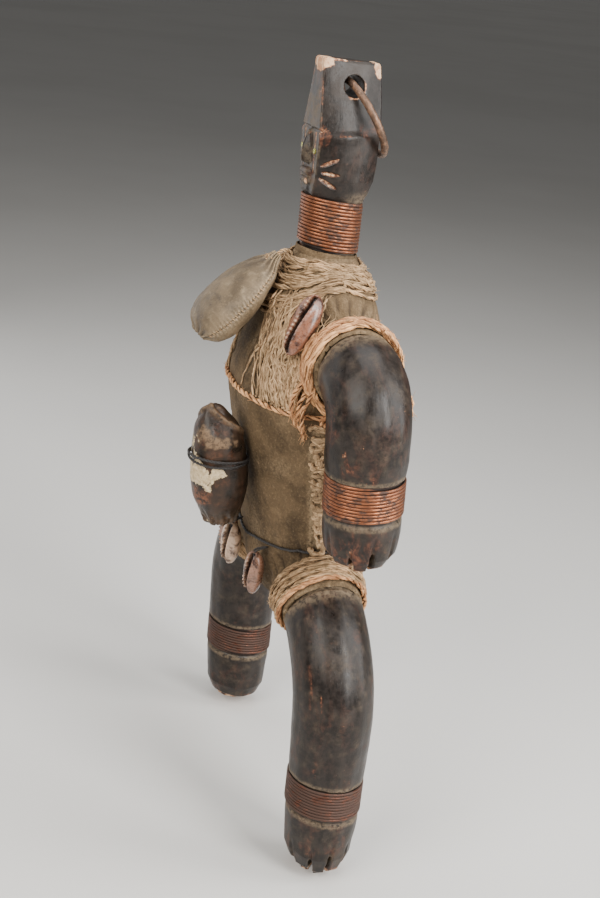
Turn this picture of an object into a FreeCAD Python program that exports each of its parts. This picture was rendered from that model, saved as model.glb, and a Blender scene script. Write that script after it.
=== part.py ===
"""Fertility doll: carved wooden head, arms and legs set into a stuffed hide body.

Millimetres, +Z up, the doll faces -Y and its own left hand is on +X.  Every
piece is designed with z = 0 on the ground, 4.4 mm below the toe tips, and with
x = y = 0 on the neck axis, and is then moved so that the origin is the hold
point on the upper back.
"""
import FreeCAD, Part
import math
import os

V = FreeCAD.Vector
X_AXIS = V(1, 0, 0)
Y_AXIS = V(0, 1, 0)
Z_AXIS = V(0, 0, 1)
ZERO = V(0, 0, 0)

# ---- driving dimensions -------------------------------------------------
HIDE_THICKNESS = 1.2
FILL_GAP = 0.1            # between the hide and its stuffing
RUNNING_GAP = 0.35        # radial clearance round everything that turns
TOUCH_GAP = 0.12          # between trim and the hide under it

# torso stations: height, half width, half depth, forward shift of the centre
TORSO = [
    (106, 17.0, 11.0, 0.0), (112, 29.0, 17.5, 0.0), (122, 37.0, 21.5, 0.0),
    (141, 41.5, 24.6, -0.6), (165, 44.0, 27.6, -1.2), (189, 46.5, 30.4, -2.8),
    (207, 47.5, 32.2, -4.4), (222, 46.5, 31.0, -3.4), (238, 41.5, 27.2, -2.2),
    (250, 35.0, 23.2, -1.2), (258, 28.0, 18.6, -0.5), (264, 18.5, 15.2, 0.0),
    (269, 13.7, 13.6, 0.0),
]
HOLD_Z = 238.0            # height of the hold point on the back

# head sections: height, front, back, half width of the front facet, of the sides, of the back facet
HEAD = [
    (293.0, -12.2, 11.2, 7.5, 12.4, 6.5), (301.0, -12.4, 15.0, 11.0, 14.2, 7.5),
    (317.0, -12.8, 15.3, 12.6, 15.3, 9.0), (350.0, -12.0, 13.4, 5.0, 8.2, 5.0),
]
NOSE_BASE = V(0, -12.9, 307)
NOSE_R = 3.2
NOSE_TOP_R = 1.2
NOSE_HEIGHT = 12.0
LIPS_CENTRE = V(0, -12.2, 302.2)
LIPS_R = 3.2
CHIN_CENTRE = V(0, -11.4, 296.4)
CHIN_R = 2.6
EYE_CENTRE = V(8.5, -13.4, 312.6)
EYE_R = 1.3
EYE_SEAT = 0.05           # radial room round each bead in the wood
NECK_R = 12.2
NECK_BASE_Z = 258.0
NECK_TOP_Z = 296.0
PEG_R = 9.6
PEG_END_Z = 238.0
WIRE_PITCH = 1.45
WIRE_FIT = 0.03           # between a winding of wire and the wood under it
NECK_WIRE_Z = 270.6
NECK_WIRE_TURNS = 15

HOLE_R = 4.3
HOLE_Y = 1.5
HOLE_Z = 340.0
RING_WIRE_R = 1.6
RING_R = 17.8             # to the middle of the wire
RING_TOP = 2.25           # how far the ring's wire rides above the hole's axis
RING_REST_DEG = 32.0      # lean of the ring, back from straight down

ARM_ROOT = V(53, 0.5, 230)
ARM_R = 17.5
ARM_BEND_R = 18.6
ARM_BACK_DEG = 2.5        # the arm hangs this far back of straight down
# lower arm: radius, height, down to the finger tips
ARM_PROFILE = [(17.5, 201), (16.5, 193.2), (15.6, 192.6), (15.6, 176.0), (16.4, 175.4),
               (16.5, 168), (15.4, 159.5), (12.8, 154.3), (8.5, 152.5), (0, 152.5)]
FINGER_CUTS_DEG = (-75, -35, 0, 35)
FINGER_CUT_TOP = 162.0
WRIST_WIRE_Z = 176.2
WRIST_WIRE_TURNS = 11
WRIST_R = 15.6
LEG_ROOT = V(47.5, 0, 117.5)
LEG_DROP_DEG = 25.0       # the leg's root points this far below the horizontal
LEG_R = 17.8
LEG_BEND_R = 46.0
# lower leg: radius, height, down to the toe tips
LEG_PROFILE = [(17.3, 62), (16.7, 52.2), (15.7, 51.4), (15.7, 35.6), (16.4, 35.0),
               (16.0, 27), (15.0, 15), (12.6, 7.4), (8.5, 4.9), (0, 4.4)]
TOE_CUTS_DEG = (-70, -30, 5, 40)
TOE_CUT_TOP = 15.4
ANKLE_WIRE_Z = 36.0
ANKLE_WIRE_TURNS = 10
ANKLE_R = 15.7
CUT_WIDTH = 3.3           # of a finger or toe cut at its open end
SLEEVE_R = 18.1           # outside of the hide sleeves round the limb roots
ROOT_R = SLEEVE_R - HIDE_THICKNESS - RUNNING_GAP
ARM_SLEEVE_LEN = 26.0
LEG_SLEEVE_LEN = 24.0
TENON_R = 9.5
KNOB_R = 12.0
KNOB_LEN = 6.0

LASH_R = 1.45             # radius of the lashing cord
SHOULDER_TURNS = 3
HIP_TURNS = 6

POUCH_TOP = V(0, -23.0, 265.6)
POUCH_END = V(0, -54.5, 231.0)
# pouch stations: part of its length, half width, half thickness
POUCH = [(0.0, 3.5, 1.9), (0.1, 9.5, 3.8), (0.3, 16.5, 7.2), (0.6, 19.0, 9.8),
         (0.85, 16.0, 8.6), (1.0, 8.0, 4.0)]
POUCH_SKIN = 0.9
LOOP_R = 2.3
LOOP_CORD_R = 0.6

AMULET_TOP = V(13, -46.7, 202.0)
AMULET_END = V(13, -40.9, 147.5)
# amulet outline: part of its length, radius
AMULET = [(0.0, 4.2), (0.06, 6.6), (0.25, 11.2), (0.5, 13.0), (0.75, 12.0),
          (0.94, 7.6), (1.0, 5.0)]
BINDING_PART = 0.42       # how far down the amulet its binding lies
BINDING_R = 13.0
BINDING_CORD_R = 0.6
BINDING_TILTS_DEG = (9.0, -4.0)

COWRIE_R = 5.8
COWRIE_TOP = V(34.4, -13.8, 257.8)
COWRIE_END = V(39.8, -25.6, 233.4)
COWRIE_OUTWARD = V(0.66, -0.68, 0.3)
BELLY_COWRIE_LEN = 21.0
BELLY_COWRIE_R = 4.9
MIDDLE_COWRIE_TOP = V(0, -31.4, 140.8)
SIDE_COWRIE_TOP = V(23, -26.4, 136.5)
STRING_Z = 146.8
STRING_R = 0.8
CHEST_CORD_Z = 207.2
CHEST_CORD_R = 1.2
NECK_CORD_R = 1.3
# neck cords: height, and how far each stands off where it bridges the hollow below the neck
NECK_CORDS = [(266.3, 2.0), (261.7, 0.7), (257.8, 0.5)]
# left chest mat: (x, z) corners; left side seam: (y, z) corners
MAT = [(9, 256), (22, 253), (25, 235), (35, 226), (39.5, 212.5), (28, 212.5), (17, 226), (8, 246)]
MAT_THICKNESS = 1.5
SEAM = [(-10, 205), (-4, 205), (-2, 172), (1, 150), (-4, 150), (-9, 172)]
SEAM_THICKNESS = 1.6


# ---- shared helpers -----------------------------------------------------
def station(z):
    """Half width, half depth and centre of the torso at a height."""
    for low, high in zip(TORSO, TORSO[1:]):
        if low[0] <= z <= high[0]:
            part = (z - low[0]) / (high[0] - low[0])
            return [low[i] + part * (high[i] - low[i]) for i in (1, 2, 3)]
    raise ValueError("height outside the torso")


def ellipse_wire(half_x, half_y, centre_y, z):
    """A closed ellipse, wider along X than along Y."""
    ellipse = Part.Ellipse(V(half_x, centre_y, z), V(0, centre_y + half_y, z), V(0, centre_y, z))
    return Part.Wire([ellipse.toShape()])


def torso_loft(offset, low_lift=0.0):
    """The torso's outer form, moved in or out by an offset."""
    wires = []
    for index, (z, half_x, half_y, centre_y) in enumerate(TORSO):
        lift = low_lift if index == 0 else 0.0
        wires.append(ellipse_wire(half_x + offset, half_y + offset, centre_y, z + lift))
    return Part.makeLoft(wires, True, False)


def revolve_profile(points):
    """A solid of revolution about Z from (radius, height) points that start and end on the axis."""
    vectors = [V(r, 0, z) for r, z in points]
    outline = Part.makePolygon(vectors + [vectors[0]])
    return Part.Face(outline).revolve(ZERO, Z_AXIS, 360.0)


def along(shape, start, direction):
    """Place a shape that was made along +Z so that it starts at a point and runs along a direction."""
    placed = shape.copy()
    placed.Placement = FreeCAD.Placement(start, FreeCAD.Rotation(Z_AXIS, direction))
    return placed


def scalloped_sleeve(inner_r, cord_r, turns):
    """A close winding as one sleeve: flat inside, one round ridge for each turn outside."""
    middle_r = inner_r + cord_r
    edges = []
    for turn in range(turns):
        z = cord_r * (2 * turn + 1)
        start = V(middle_r, 0, z - cord_r)
        crest = V(middle_r + cord_r, 0, z)
        end = V(middle_r, 0, z + cord_r)
        edges.append(Part.Arc(start, crest, end).toShape())
    height = 2 * cord_r * turns
    corners = [V(middle_r, 0, height), V(inner_r, 0, height), V(inner_r, 0, 0), V(middle_r, 0, 0)]
    for start, end in zip(corners, corners[1:]):
        edges.append(Part.LineSegment(start, end).toShape())
    return Part.Face(Part.Wire(edges)).revolve(ZERO, Z_AXIS, 360.0)


def mirrored(shape):
    """The same piece on the doll's other side."""
    return shape.mirror(ZERO, X_AXIS)


def spheroid(length, radius):
    """An egg-shaped solid of revolution, centred, long axis on Z."""
    ellipse = Part.Ellipse(V(0, 0, length / 2), V(radius, 0, 0), ZERO)
    outline = Part.ArcOfEllipse(ellipse, 0.0, math.pi).toShape()
    axis = Part.LineSegment(V(0, 0, -length / 2), V(0, 0, length / 2)).toShape()
    return Part.Face(Part.Wire([outline, axis])).revolve(ZERO, Z_AXIS, 360.0)


# ---- head ---------------------------------------------------------------
def head_section(z, front, back, front_half, side_half, back_half):
    """An eight-sided section: narrow front facet, wide flat sides, narrow back."""
    middle = (front + back) / 2
    half = [(front_half, front), (side_half, middle - 3), (side_half, middle + 4), (back_half, back)]
    points = [V(x, y, z) for x, y in half]
    points += [V(-x, y, z) for x, y in reversed(half)]
    return Part.makePolygon(points + [points[0]])


def eyes(radius):
    """A small ball at each eye."""
    left = Part.makeSphere(radius, EYE_CENTRE)
    return [left, mirrored(left)]


def make_head():
    """Crested head, face, neck and the peg that turns in the body, carved in one."""
    head = Part.makeLoft([head_section(*row) for row in HEAD], True, True)
    nose = Part.makeCone(NOSE_R, NOSE_TOP_R, NOSE_HEIGHT, NOSE_BASE, Z_AXIS)
    lips = Part.makeSphere(LIPS_R, LIPS_CENTRE)
    chin = Part.makeSphere(CHIN_R, CHIN_CENTRE)
    neck = Part.makeCylinder(NECK_R, NECK_TOP_Z - NECK_BASE_Z, V(0, 0, NECK_BASE_Z))
    peg = Part.makeCylinder(PEG_R, NECK_BASE_Z - PEG_END_Z, V(0, 0, PEG_END_Z))
    head = head.fuse([nose, lips, chin, neck, peg]).removeSplitter()
    hole = Part.makeCylinder(HOLE_R, 40, V(-20, HOLE_Y, HOLE_Z), X_AXIS)
    return head.cut([hole] + eyes(EYE_R + EYE_SEAT))


def make_eye_beads():
    """Two small bead eyes pressed into the face."""
    return Part.makeCompound(eyes(EYE_R))


def make_neck_wire():
    """Copper wire wound close round the neck."""
    winding = scalloped_sleeve(NECK_R + WIRE_FIT, WIRE_PITCH / 2, NECK_WIRE_TURNS)
    return along(winding, V(0, 0, NECK_WIRE_Z), Z_AXIS)


def make_head_ring():
    """Iron ring through the crest, resting against the back of the head."""
    lean = math.radians(RING_REST_DEG)
    down = V(0, math.sin(lean), -math.cos(lean))
    centre = V(0, HOLE_Y, HOLE_Z) + down * (RING_R - RING_TOP)
    return Part.makeTorus(RING_R, RING_WIRE_R, centre, down.cross(X_AXIS))


# ---- limbs --------------------------------------------------------------
def root_direction(drop_deg):
    """Direction in which a left limb leaves the body."""
    drop = math.radians(drop_deg)
    return V(math.cos(drop), 0, -math.sin(drop))


def tenon_profile(sleeve_len, gap):
    """Limb root, thinner tenon and end knob as one outline; gap widens it into its socket."""
    knob_end = -sleeve_len - 14.0
    return [
        (0, knob_end - gap), (KNOB_R + gap, knob_end - gap),
        (KNOB_R + gap, knob_end + KNOB_LEN + gap), (TENON_R + gap, knob_end + KNOB_LEN + 2 + gap),
        (TENON_R + gap, -sleeve_len - gap), (ROOT_R + gap, -sleeve_len + 1 - gap),
        (ROOT_R + gap, 0), (0, 0),
    ]


def limb(root, drop_deg, radius, bend_r, sleeve_len, profile):
    """Tenon, root, bend and lower limb.  The bend ends pointing straight down."""
    direction = root_direction(drop_deg)
    tenon = along(revolve_profile(tenon_profile(sleeve_len, 0.0)), root, direction)
    drop = math.radians(drop_deg)
    bend_centre = root + V(-math.sin(drop), 0, -math.cos(drop)) * bend_r
    circle = Part.Circle(root, direction, radius).toShape()
    disc = Part.Face(Part.Wire([circle]))
    bend = disc.revolve(bend_centre, Y_AXIS, 90 - drop_deg)
    foot_axis = bend_centre + V(bend_r, 0, 0)
    top = [(0, bend_centre.z), (radius, bend_centre.z)]
    lower = revolve_profile(top + profile)
    lower.translate(V(foot_axis.x, foot_axis.y, 0))
    return tenon.fuse([bend, lower]).removeSplitter(), foot_axis


def notches(axis, radius, low_z, high_z, angles_deg):
    """Thin wedges that part the fingers or toes, open at the bottom and the outside."""
    wedges = []
    start = radius * 0.45
    for angle in angles_deg:
        low = low_z - 1
        corners = [V(start, -CUT_WIDTH / 2, low), V(start, CUT_WIDTH / 2, low), V(start, 0, high_z)]
        face = Part.Face(Part.makePolygon(corners + [corners[0]]))
        wedge = face.extrude(V(radius, 0, 0))
        wedge.rotate(ZERO, Z_AXIS, angle)
        wedge.translate(V(axis.x, axis.y, 0))
        wedges.append(wedge)
    return wedges


def make_arm():
    """Left arm: bent tube with a wrist recess and a hand with cut fingers."""
    arm, axis = limb(ARM_ROOT, 0.0, ARM_R, ARM_BEND_R, ARM_SLEEVE_LEN, ARM_PROFILE)
    arm = arm.cut(notches(axis, ARM_R, ARM_PROFILE[-1][1], FINGER_CUT_TOP, FINGER_CUTS_DEG))
    arm.rotate(ARM_ROOT, X_AXIS, ARM_BACK_DEG)
    wire = scalloped_sleeve(WRIST_R + WIRE_FIT, WIRE_PITCH / 2, WRIST_WIRE_TURNS)
    wire.translate(V(axis.x, axis.y, WRIST_WIRE_Z))
    wire.rotate(ARM_ROOT, X_AXIS, ARM_BACK_DEG)
    return arm, wire


def make_leg():
    """Left leg: bowed tube with an ankle recess and a foot with cut toes."""
    leg, axis = limb(LEG_ROOT, LEG_DROP_DEG, LEG_R, LEG_BEND_R, LEG_SLEEVE_LEN, LEG_PROFILE)
    leg = leg.cut(notches(axis, LEG_R, 0, TOE_CUT_TOP, TOE_CUTS_DEG))
    wire = scalloped_sleeve(ANKLE_R + WIRE_FIT, WIRE_PITCH / 2, ANKLE_WIRE_TURNS)
    wire.translate(V(axis.x, axis.y, ANKLE_WIRE_Z))
    return leg, wire


# ---- body ---------------------------------------------------------------
def sleeve(root, drop_deg, radius, length):
    """A cylinder round a limb's root, running back into the torso."""
    direction = root_direction(drop_deg)
    start = root - direction * length
    return Part.makeCylinder(radius, length - 0.4, start, direction)


def socket(root, drop_deg, sleeve_len):
    """The space that a limb's root and tenon turn in."""
    profile = tenon_profile(sleeve_len, RUNNING_GAP)
    return along(revolve_profile(profile), root, root_direction(drop_deg))


def both_sides(shape):
    """A left piece and its right twin."""
    return [shape, mirrored(shape)]


def neck_socket():
    """The space that the neck and its peg turn in."""
    collar = Part.makeCylinder(NECK_R + RUNNING_GAP, 20, V(0, 0, NECK_BASE_Z - RUNNING_GAP))
    bore = Part.makeCylinder(PEG_R + RUNNING_GAP, 30, V(0, 0, PEG_END_Z - RUNNING_GAP))
    return [collar, bore]


def sockets():
    """Every space that a turning piece takes out of the body."""
    arm = socket(ARM_ROOT, 0.0, ARM_SLEEVE_LEN)
    leg = socket(LEG_ROOT, LEG_DROP_DEG, LEG_SLEEVE_LEN)
    return both_sides(arm) + both_sides(leg) + neck_socket()


def hide_outside():
    """Torso form with its four sleeves, still solid."""
    arm = sleeve(ARM_ROOT, 0.0, SLEEVE_R, ARM_SLEEVE_LEN)
    leg = sleeve(LEG_ROOT, LEG_DROP_DEG, SLEEVE_R, LEG_SLEEVE_LEN)
    return torso_loft(0.0).fuse(both_sides(arm) + both_sides(leg))


def make_body():
    """The hide skin and the stuffing that fills it."""
    holes = sockets()
    outside = hide_outside()
    hide = outside.cut([torso_loft(-HIDE_THICKNESS, HIDE_THICKNESS)] + holes)
    stuffing = torso_loft(-HIDE_THICKNESS - FILL_GAP, HIDE_THICKNESS + FILL_GAP).cut(holes)
    return hide, stuffing, outside


def body_hoop(z, cord_r, lift=0.0):
    """A cord drawn round the torso at a height."""
    half_x, half_y, centre_y = station(z)
    gap = cord_r + TOUCH_GAP + lift
    path = ellipse_wire(half_x + gap, half_y + gap, centre_y, z)
    profile = Part.Circle(V(half_x + gap, centre_y, z), Y_AXIS, cord_r).toShape()
    return path.makePipeShell([Part.Wire([profile])], True, True)


def pouch_pivot():
    """Centre of the top neck cord at the front, which the pouch's loop turns round."""
    z, lift = NECK_CORDS[0]
    _, half_y, centre_y = station(z)
    return V(0, centre_y - half_y - NECK_CORD_R - TOUCH_GAP - lift, z)


def make_neck_cords(hide_solid):
    """Twisted cords wound round the base of the neck, each lower turn wider."""
    turns = [body_hoop(z, NECK_CORD_R, lift).cut(hide_solid) for z, lift in NECK_CORDS]
    return Part.makeCompound(turns)


def surface_strip(outline, side, thickness):
    """A patch of even thickness on the torso, cut to an (x, z) outline on its front or side."""
    patch = torso_loft(TOUCH_GAP + thickness).cut(torso_loft(TOUCH_GAP))
    if side == "front":
        corners = [V(x, -60, z) for x, z in outline]
        reach = V(0, 58, 0)
    else:
        corners = [V(60, y, z) for y, z in outline]
        reach = V(-40, 0, 0)
    cutter = Part.Face(Part.makePolygon(corners + [corners[0]])).extrude(reach)
    return patch.common(cutter)


def make_chest_mat():
    """Crusty fibre mat from the front of the neck to the armpit, on the left."""
    return surface_strip(MAT, "front", MAT_THICKNESS)


def make_side_seam():
    """Raised line of lacing where the hide closes down the left side."""
    return surface_strip(SEAM, "side", SEAM_THICKNESS)


def lashing(root, drop_deg, turns, hide_solid):
    """Cord wound round a sleeve, trimmed where it runs onto the torso."""
    direction = root_direction(drop_deg)
    height = 2 * LASH_R * turns
    winding = scalloped_sleeve(SLEEVE_R + 0.05, LASH_R, turns)
    winding = along(winding, root - direction * (height + 1.0), direction)
    return winding.cut(hide_solid)


# ---- hanging pieces -----------------------------------------------------
def pouch_form(shrink):
    """Pillow form between the pouch's two ends; shrink moves its skin inward."""
    axis = POUCH_END - POUCH_TOP
    direction = axis * (1 / axis.Length)
    wires = []
    for part, half_x, half_t in POUCH:
        wire = ellipse_wire(half_x - shrink, half_t - shrink, 0, 0)
        reach = part * (axis.Length - 2 * shrink) + shrink
        wire.Placement = FreeCAD.Placement(POUCH_TOP + direction * reach,
                                           FreeCAD.Rotation(X_AXIS, Y_AXIS, direction, "XZY"))
        wires.append(wire)
    return Part.makeLoft(wires, True, False)


def make_pouch():
    """Leather pouch, its filling, and the loop that hangs it from the neck cords."""
    inner = pouch_form(POUCH_SKIN)
    skin = pouch_form(0.0).cut(inner)
    filling = pouch_form(POUCH_SKIN + 0.1)
    loop = Part.makeTorus(LOOP_R, LOOP_CORD_R, pouch_pivot(), X_AXIS).cut(pouch_form(0.0))
    return skin, filling, loop


def make_amulet():
    """Spindle of lacquered hide bound to the belly, and its two crossing turns of cord."""
    axis = AMULET_END - AMULET_TOP
    length = axis.Length
    points = [(0, 0)] + [(r, part * length) for part, r in AMULET] + [(0, length)]
    body = along(revolve_profile(points), AMULET_TOP, axis)
    middle = V(0, 0, BINDING_PART * length)
    ties = []
    for tilt in BINDING_TILTS_DEG:
        tie = Part.makeTorus(BINDING_R, BINDING_CORD_R, middle, Z_AXIS)
        tie.rotate(middle, X_AXIS, tilt)
        ties.append(along(tie, AMULET_TOP, axis))
    binding = ties[0].fuse(ties[1:]).cut(body)
    return body, binding


def cowrie(radius, top, end, outward):
    """A cowrie shell with its slit facing outward."""
    axis = end - top
    length = axis.Length
    direction = axis * (1 / length)
    shell = spheroid(length, radius)
    slit = Part.makeBox(1.2, radius, length * 0.7, V(-0.6, -radius * 1.4, -length * 0.35))
    shell = shell.cut(slit)
    sideways = outward.cross(direction).normalize()
    back = direction.cross(sideways)
    turn = FreeCAD.Rotation(sideways, back, direction, "ZYX")
    shell.rotate(ZERO, turn.Axis, math.degrees(turn.Angle))
    shell.translate((top + end) * 0.5)
    return shell


def make_shoulder_cowrie():
    """Cowrie sewn to the front of the left shoulder."""
    return cowrie(COWRIE_R, COWRIE_TOP, COWRIE_END, COWRIE_OUTWARD)


def make_belly_cowrie(top):
    """Cowrie hanging from the hip string."""
    end = top - V(0, 0, BELLY_COWRIE_LEN)
    return cowrie(BELLY_COWRIE_R, top, end, V(0, -1, 0))


# ---- the whole doll -----------------------------------------------------
def doll():
    """Every piece by name, in foot-level coordinates."""
    hide, stuffing, outside = make_body()
    arm, wrist_wire = make_arm()
    leg, ankle_wire = make_leg()
    shoulder_lashing = lashing(ARM_ROOT, 0.0, SHOULDER_TURNS, outside)
    hip_lashing = lashing(LEG_ROOT, LEG_DROP_DEG, HIP_TURNS, outside)
    pouch, filling, loop = make_pouch()
    amulet, binding = make_amulet()
    pieces = {
        "head": make_head(),
        "eye_beads": make_eye_beads(),
        "neck_wire": make_neck_wire(),
        "head_ring": make_head_ring(),
        "hide_body": hide,
        "stuffing": stuffing,
        "neck_cords": make_neck_cords(outside),
        "chest_cord": body_hoop(CHEST_CORD_Z, CHEST_CORD_R).cut(outside),
        "hip_string": body_hoop(STRING_Z, STRING_R),
        "chest_pouch": pouch,
        "pouch_filling": filling,
        "pouch_loop": loop,
        "belly_amulet": amulet,
        "amulet_binding": binding,
        "middle_belly_cowrie": make_belly_cowrie(MIDDLE_COWRIE_TOP),
    }
    paired = {
        "arm": arm,
        "wrist_wire": wrist_wire,
        "leg": leg,
        "ankle_wire": ankle_wire,
        "shoulder_lashing": shoulder_lashing,
        "hip_lashing": hip_lashing,
        "chest_mat": make_chest_mat(),
        "side_seam": make_side_seam(),
        "shoulder_cowrie": make_shoulder_cowrie(),
        "belly_cowrie": make_belly_cowrie(SIDE_COWRIE_TOP),
    }
    for name, shape in paired.items():
        pieces["left_" + name] = shape
        pieces["right_" + name] = mirrored(shape)
    return pieces


def main():
    os.makedirs("parts", exist_ok=True)
    _, half_y, centre_y = station(HOLD_Z)
    hold_point = V(0, centre_y + half_y, HOLD_Z)
    print("hold point", hold_point, "from the ground and the neck axis")
    for name, shape in doll().items():
        shape.translate(hold_point * -1)
        shape.exportStep("parts/%s.step" % name)
        print("%-22s solids %d  volume %9.1f  valid %s"
              % (name, len(shape.Solids), shape.Volume, shape.isValid()))


main()
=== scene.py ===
"""Fertility doll: the detailed pieces, materials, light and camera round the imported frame.

Shapes are worked out in the doll's own millimetres: z = 0 lies 4.4 mm below the toe tips,
x = y = 0 is the neck axis, the doll faces -Y and its left hand is on +X.  build() turns
them into metres in the frame.
"""
import math
import bmesh
import bpy
import numpy as np
from mathutils import Matrix, Vector
from mathutils.bvhtree import BVHTree


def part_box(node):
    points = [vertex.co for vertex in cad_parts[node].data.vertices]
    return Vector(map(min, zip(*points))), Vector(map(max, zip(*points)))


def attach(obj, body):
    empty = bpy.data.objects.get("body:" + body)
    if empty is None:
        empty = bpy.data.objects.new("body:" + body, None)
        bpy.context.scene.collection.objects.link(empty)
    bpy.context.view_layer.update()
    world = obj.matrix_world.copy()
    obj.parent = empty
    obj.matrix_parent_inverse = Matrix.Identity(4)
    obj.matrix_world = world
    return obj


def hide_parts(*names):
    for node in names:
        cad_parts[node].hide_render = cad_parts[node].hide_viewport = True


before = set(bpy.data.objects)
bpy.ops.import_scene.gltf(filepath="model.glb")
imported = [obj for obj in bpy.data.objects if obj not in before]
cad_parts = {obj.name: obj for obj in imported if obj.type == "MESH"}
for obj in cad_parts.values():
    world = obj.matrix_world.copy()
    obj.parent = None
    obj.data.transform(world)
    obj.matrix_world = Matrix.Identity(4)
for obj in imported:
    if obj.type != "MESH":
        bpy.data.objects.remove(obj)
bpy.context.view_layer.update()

neck_low, neck_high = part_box("neck_wire")
head_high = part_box("head")[1]
MM = 0.001
HEAD_TOP = 0.350          # in metres, over the doll's z = 0
ORIGIN = np.array([(neck_low[0] + neck_high[0]) / 2, (neck_low[1] + neck_high[1]) / 2,
                   head_high[2] - HEAD_TOP])

# driving dimensions, as in the frame
TORSO = np.array([
    (106, 17.0, 11.0, 0.0), (112, 29.0, 17.5, 0.0), (122, 37.0, 21.5, 0.0),
    (141, 41.5, 24.6, -0.6), (165, 44.0, 27.6, -1.2), (189, 46.5, 30.4, -2.8),
    (207, 47.5, 32.2, -4.4), (222, 46.5, 31.0, -3.4), (238, 41.5, 27.2, -2.2),
    (250, 35.0, 23.2, -1.2), (258, 28.0, 18.6, -0.5), (264, 18.5, 15.2, 0.0),
    (269, 13.7, 13.6, 0.0),
])
ARM_ROOT = np.array([53.0, 0.5, 230.0])
ARM_BEND_R = 18.6
ARM_BACK_DEG = 2.5
LEG_ROOT = np.array([47.5, 0.0, 117.5])
LEG_DROP_DEG = 25.0
LEG_BEND_R = 46.0
SLEEVE_R = 18.1
MOUTH_BACK = 0.5          # the hide ends this far short of where a limb swells
LIMB_SEAT_R = 16.7        # opening of the hide round a limb
NECK_SEAT_R = 12.7        # and round the neck
SEAT_LENGTH = 9.0         # a limb goes this far into its sleeve
SEAT_R = 16.2
NECK_R = 12.15
NECK_START_Z = 258.4
NECK_TILT = 0.115         # the wire on the neck stands this much higher per mm towards the front
HOLE = np.array([0.0, 1.5, 340.0])
HOLE_R = 4.3
RING_R = 17.8
RING_WIRE_R = 1.6
RING_TOP = 2.25
RING_REST_DEG = 32.0
FLOOR_Z = 1.5
FLOOR_HALF = 30000.0
CAMERA_PLACE = np.array([557.0, -196.5, 392.5])
CAMERA_TURN, CAMERA_PITCH, CAMERA_ROLL = 70.78, 20.12, 6.16
CAMERA_LENS = 54.92
WIRE_R = 0.71
WIRE_PITCH = 1.45
NECK_STRANDS = 17
MAT_STRANDS = 820
SEAM_STITCHES = 30
STITCH_PITCH = 1.7        # along the pouch's seams
RIGHT_FLIP = np.array([-1.0, 1.0, 1.0])


# ---- numbers ------------------------------------------------------------
def unit(v):
    v = np.asarray(v, float)
    return v / np.linalg.norm(v)


def lattice(cell, seed):
    """A repeatable value in -1..1 for each lattice cell."""
    c = cell.astype(np.int64)
    h = c[..., 0] * 374761393 + c[..., 1] * 668265263 + c[..., 2] * 1440662683 + seed * 1013904223
    h = h & 0xFFFFFFFF
    h = ((h ^ (h >> 13)) * 1274126177) & 0xFFFFFFFF
    h = ((h ^ (h >> 16)) * 2246822519) & 0xFFFFFFFF
    return (h ^ (h >> 15)) / 2147483648.0 - 1.0


def noise(points, size, seed=0, octaves=1):
    """Smooth value noise in about -1..1; size is the width of its largest lumps in mm."""
    total = np.zeros(len(points))
    weight = 1.0
    for octave in range(octaves):
        p = np.asarray(points) / size * 2 ** octave + 17.3 * octave
        cell = np.floor(p)
        f = p - cell
        f = f * f * (3 - 2 * f)
        value = np.zeros(len(points))
        for corner in range(8):
            step = np.array([corner & 1, corner >> 1 & 1, corner >> 2 & 1])
            part = np.prod(np.where(step, f, 1 - f), axis=1)
            value += part * lattice(cell + step, seed + 31 * octave)
        total += weight * value
        weight *= 0.5
    return total


def ramp01(value, low, high):
    """Smooth step from 0 at low to 1 at high."""
    t = np.clip((np.asarray(value, float) - low) / (high - low), 0, 1)
    return t * t * (3 - 2 * t)


def bump01(value, centre, half):
    """A smooth hill, 1 at centre and 0 beyond half."""
    return 1 - ramp01(np.abs(np.asarray(value, float) - centre), 0, half)


def spin(points, centre, axis, degrees):
    """Points turned about an axis through a centre."""
    turn = np.array(Matrix.Rotation(math.radians(degrees), 3, Vector(axis)))
    return (np.asarray(points) - centre) @ turn.T + centre


def circle(count):
    """Angles once round, in radians."""
    return np.linspace(0, 2 * math.pi, count, endpoint=False)


def wrapped(degrees, centre):
    """Degrees from a centre, in -180..180."""
    return (degrees - centre + 180) % 360 - 180


def lengths_along(points):
    """How far along a path each of its points lies."""
    return np.r_[0, np.cumsum(np.linalg.norm(np.diff(points, axis=0), axis=1))]


def spline(points, count, closed=False):
    """Evenly spaced points on a smooth curve through the given ones."""
    p = np.asarray(points, float)
    if closed:
        p = np.vstack([p[-1], p, p[0], p[1]])
    else:
        p = np.vstack([2 * p[0] - p[1], p, 2 * p[-1] - p[-2]])
    fine = []
    for a, b, c, d in zip(p, p[1:], p[2:], p[3:]):
        t = np.linspace(0, 1, 24, endpoint=False)[:, None]
        fine.append(0.5 * (2 * b + (c - a) * t + (2 * a - 5 * b + 4 * c - d) * t ** 2
                           + (3 * b - 3 * c + d - a) * t ** 3))
    fine = np.vstack(fine + [p[-2][None]])
    run = lengths_along(fine)
    at = np.linspace(0, run[-1], count, endpoint=not closed)
    return np.stack([np.interp(at, run, fine[:, i]) for i in range(3)], axis=1)


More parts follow.
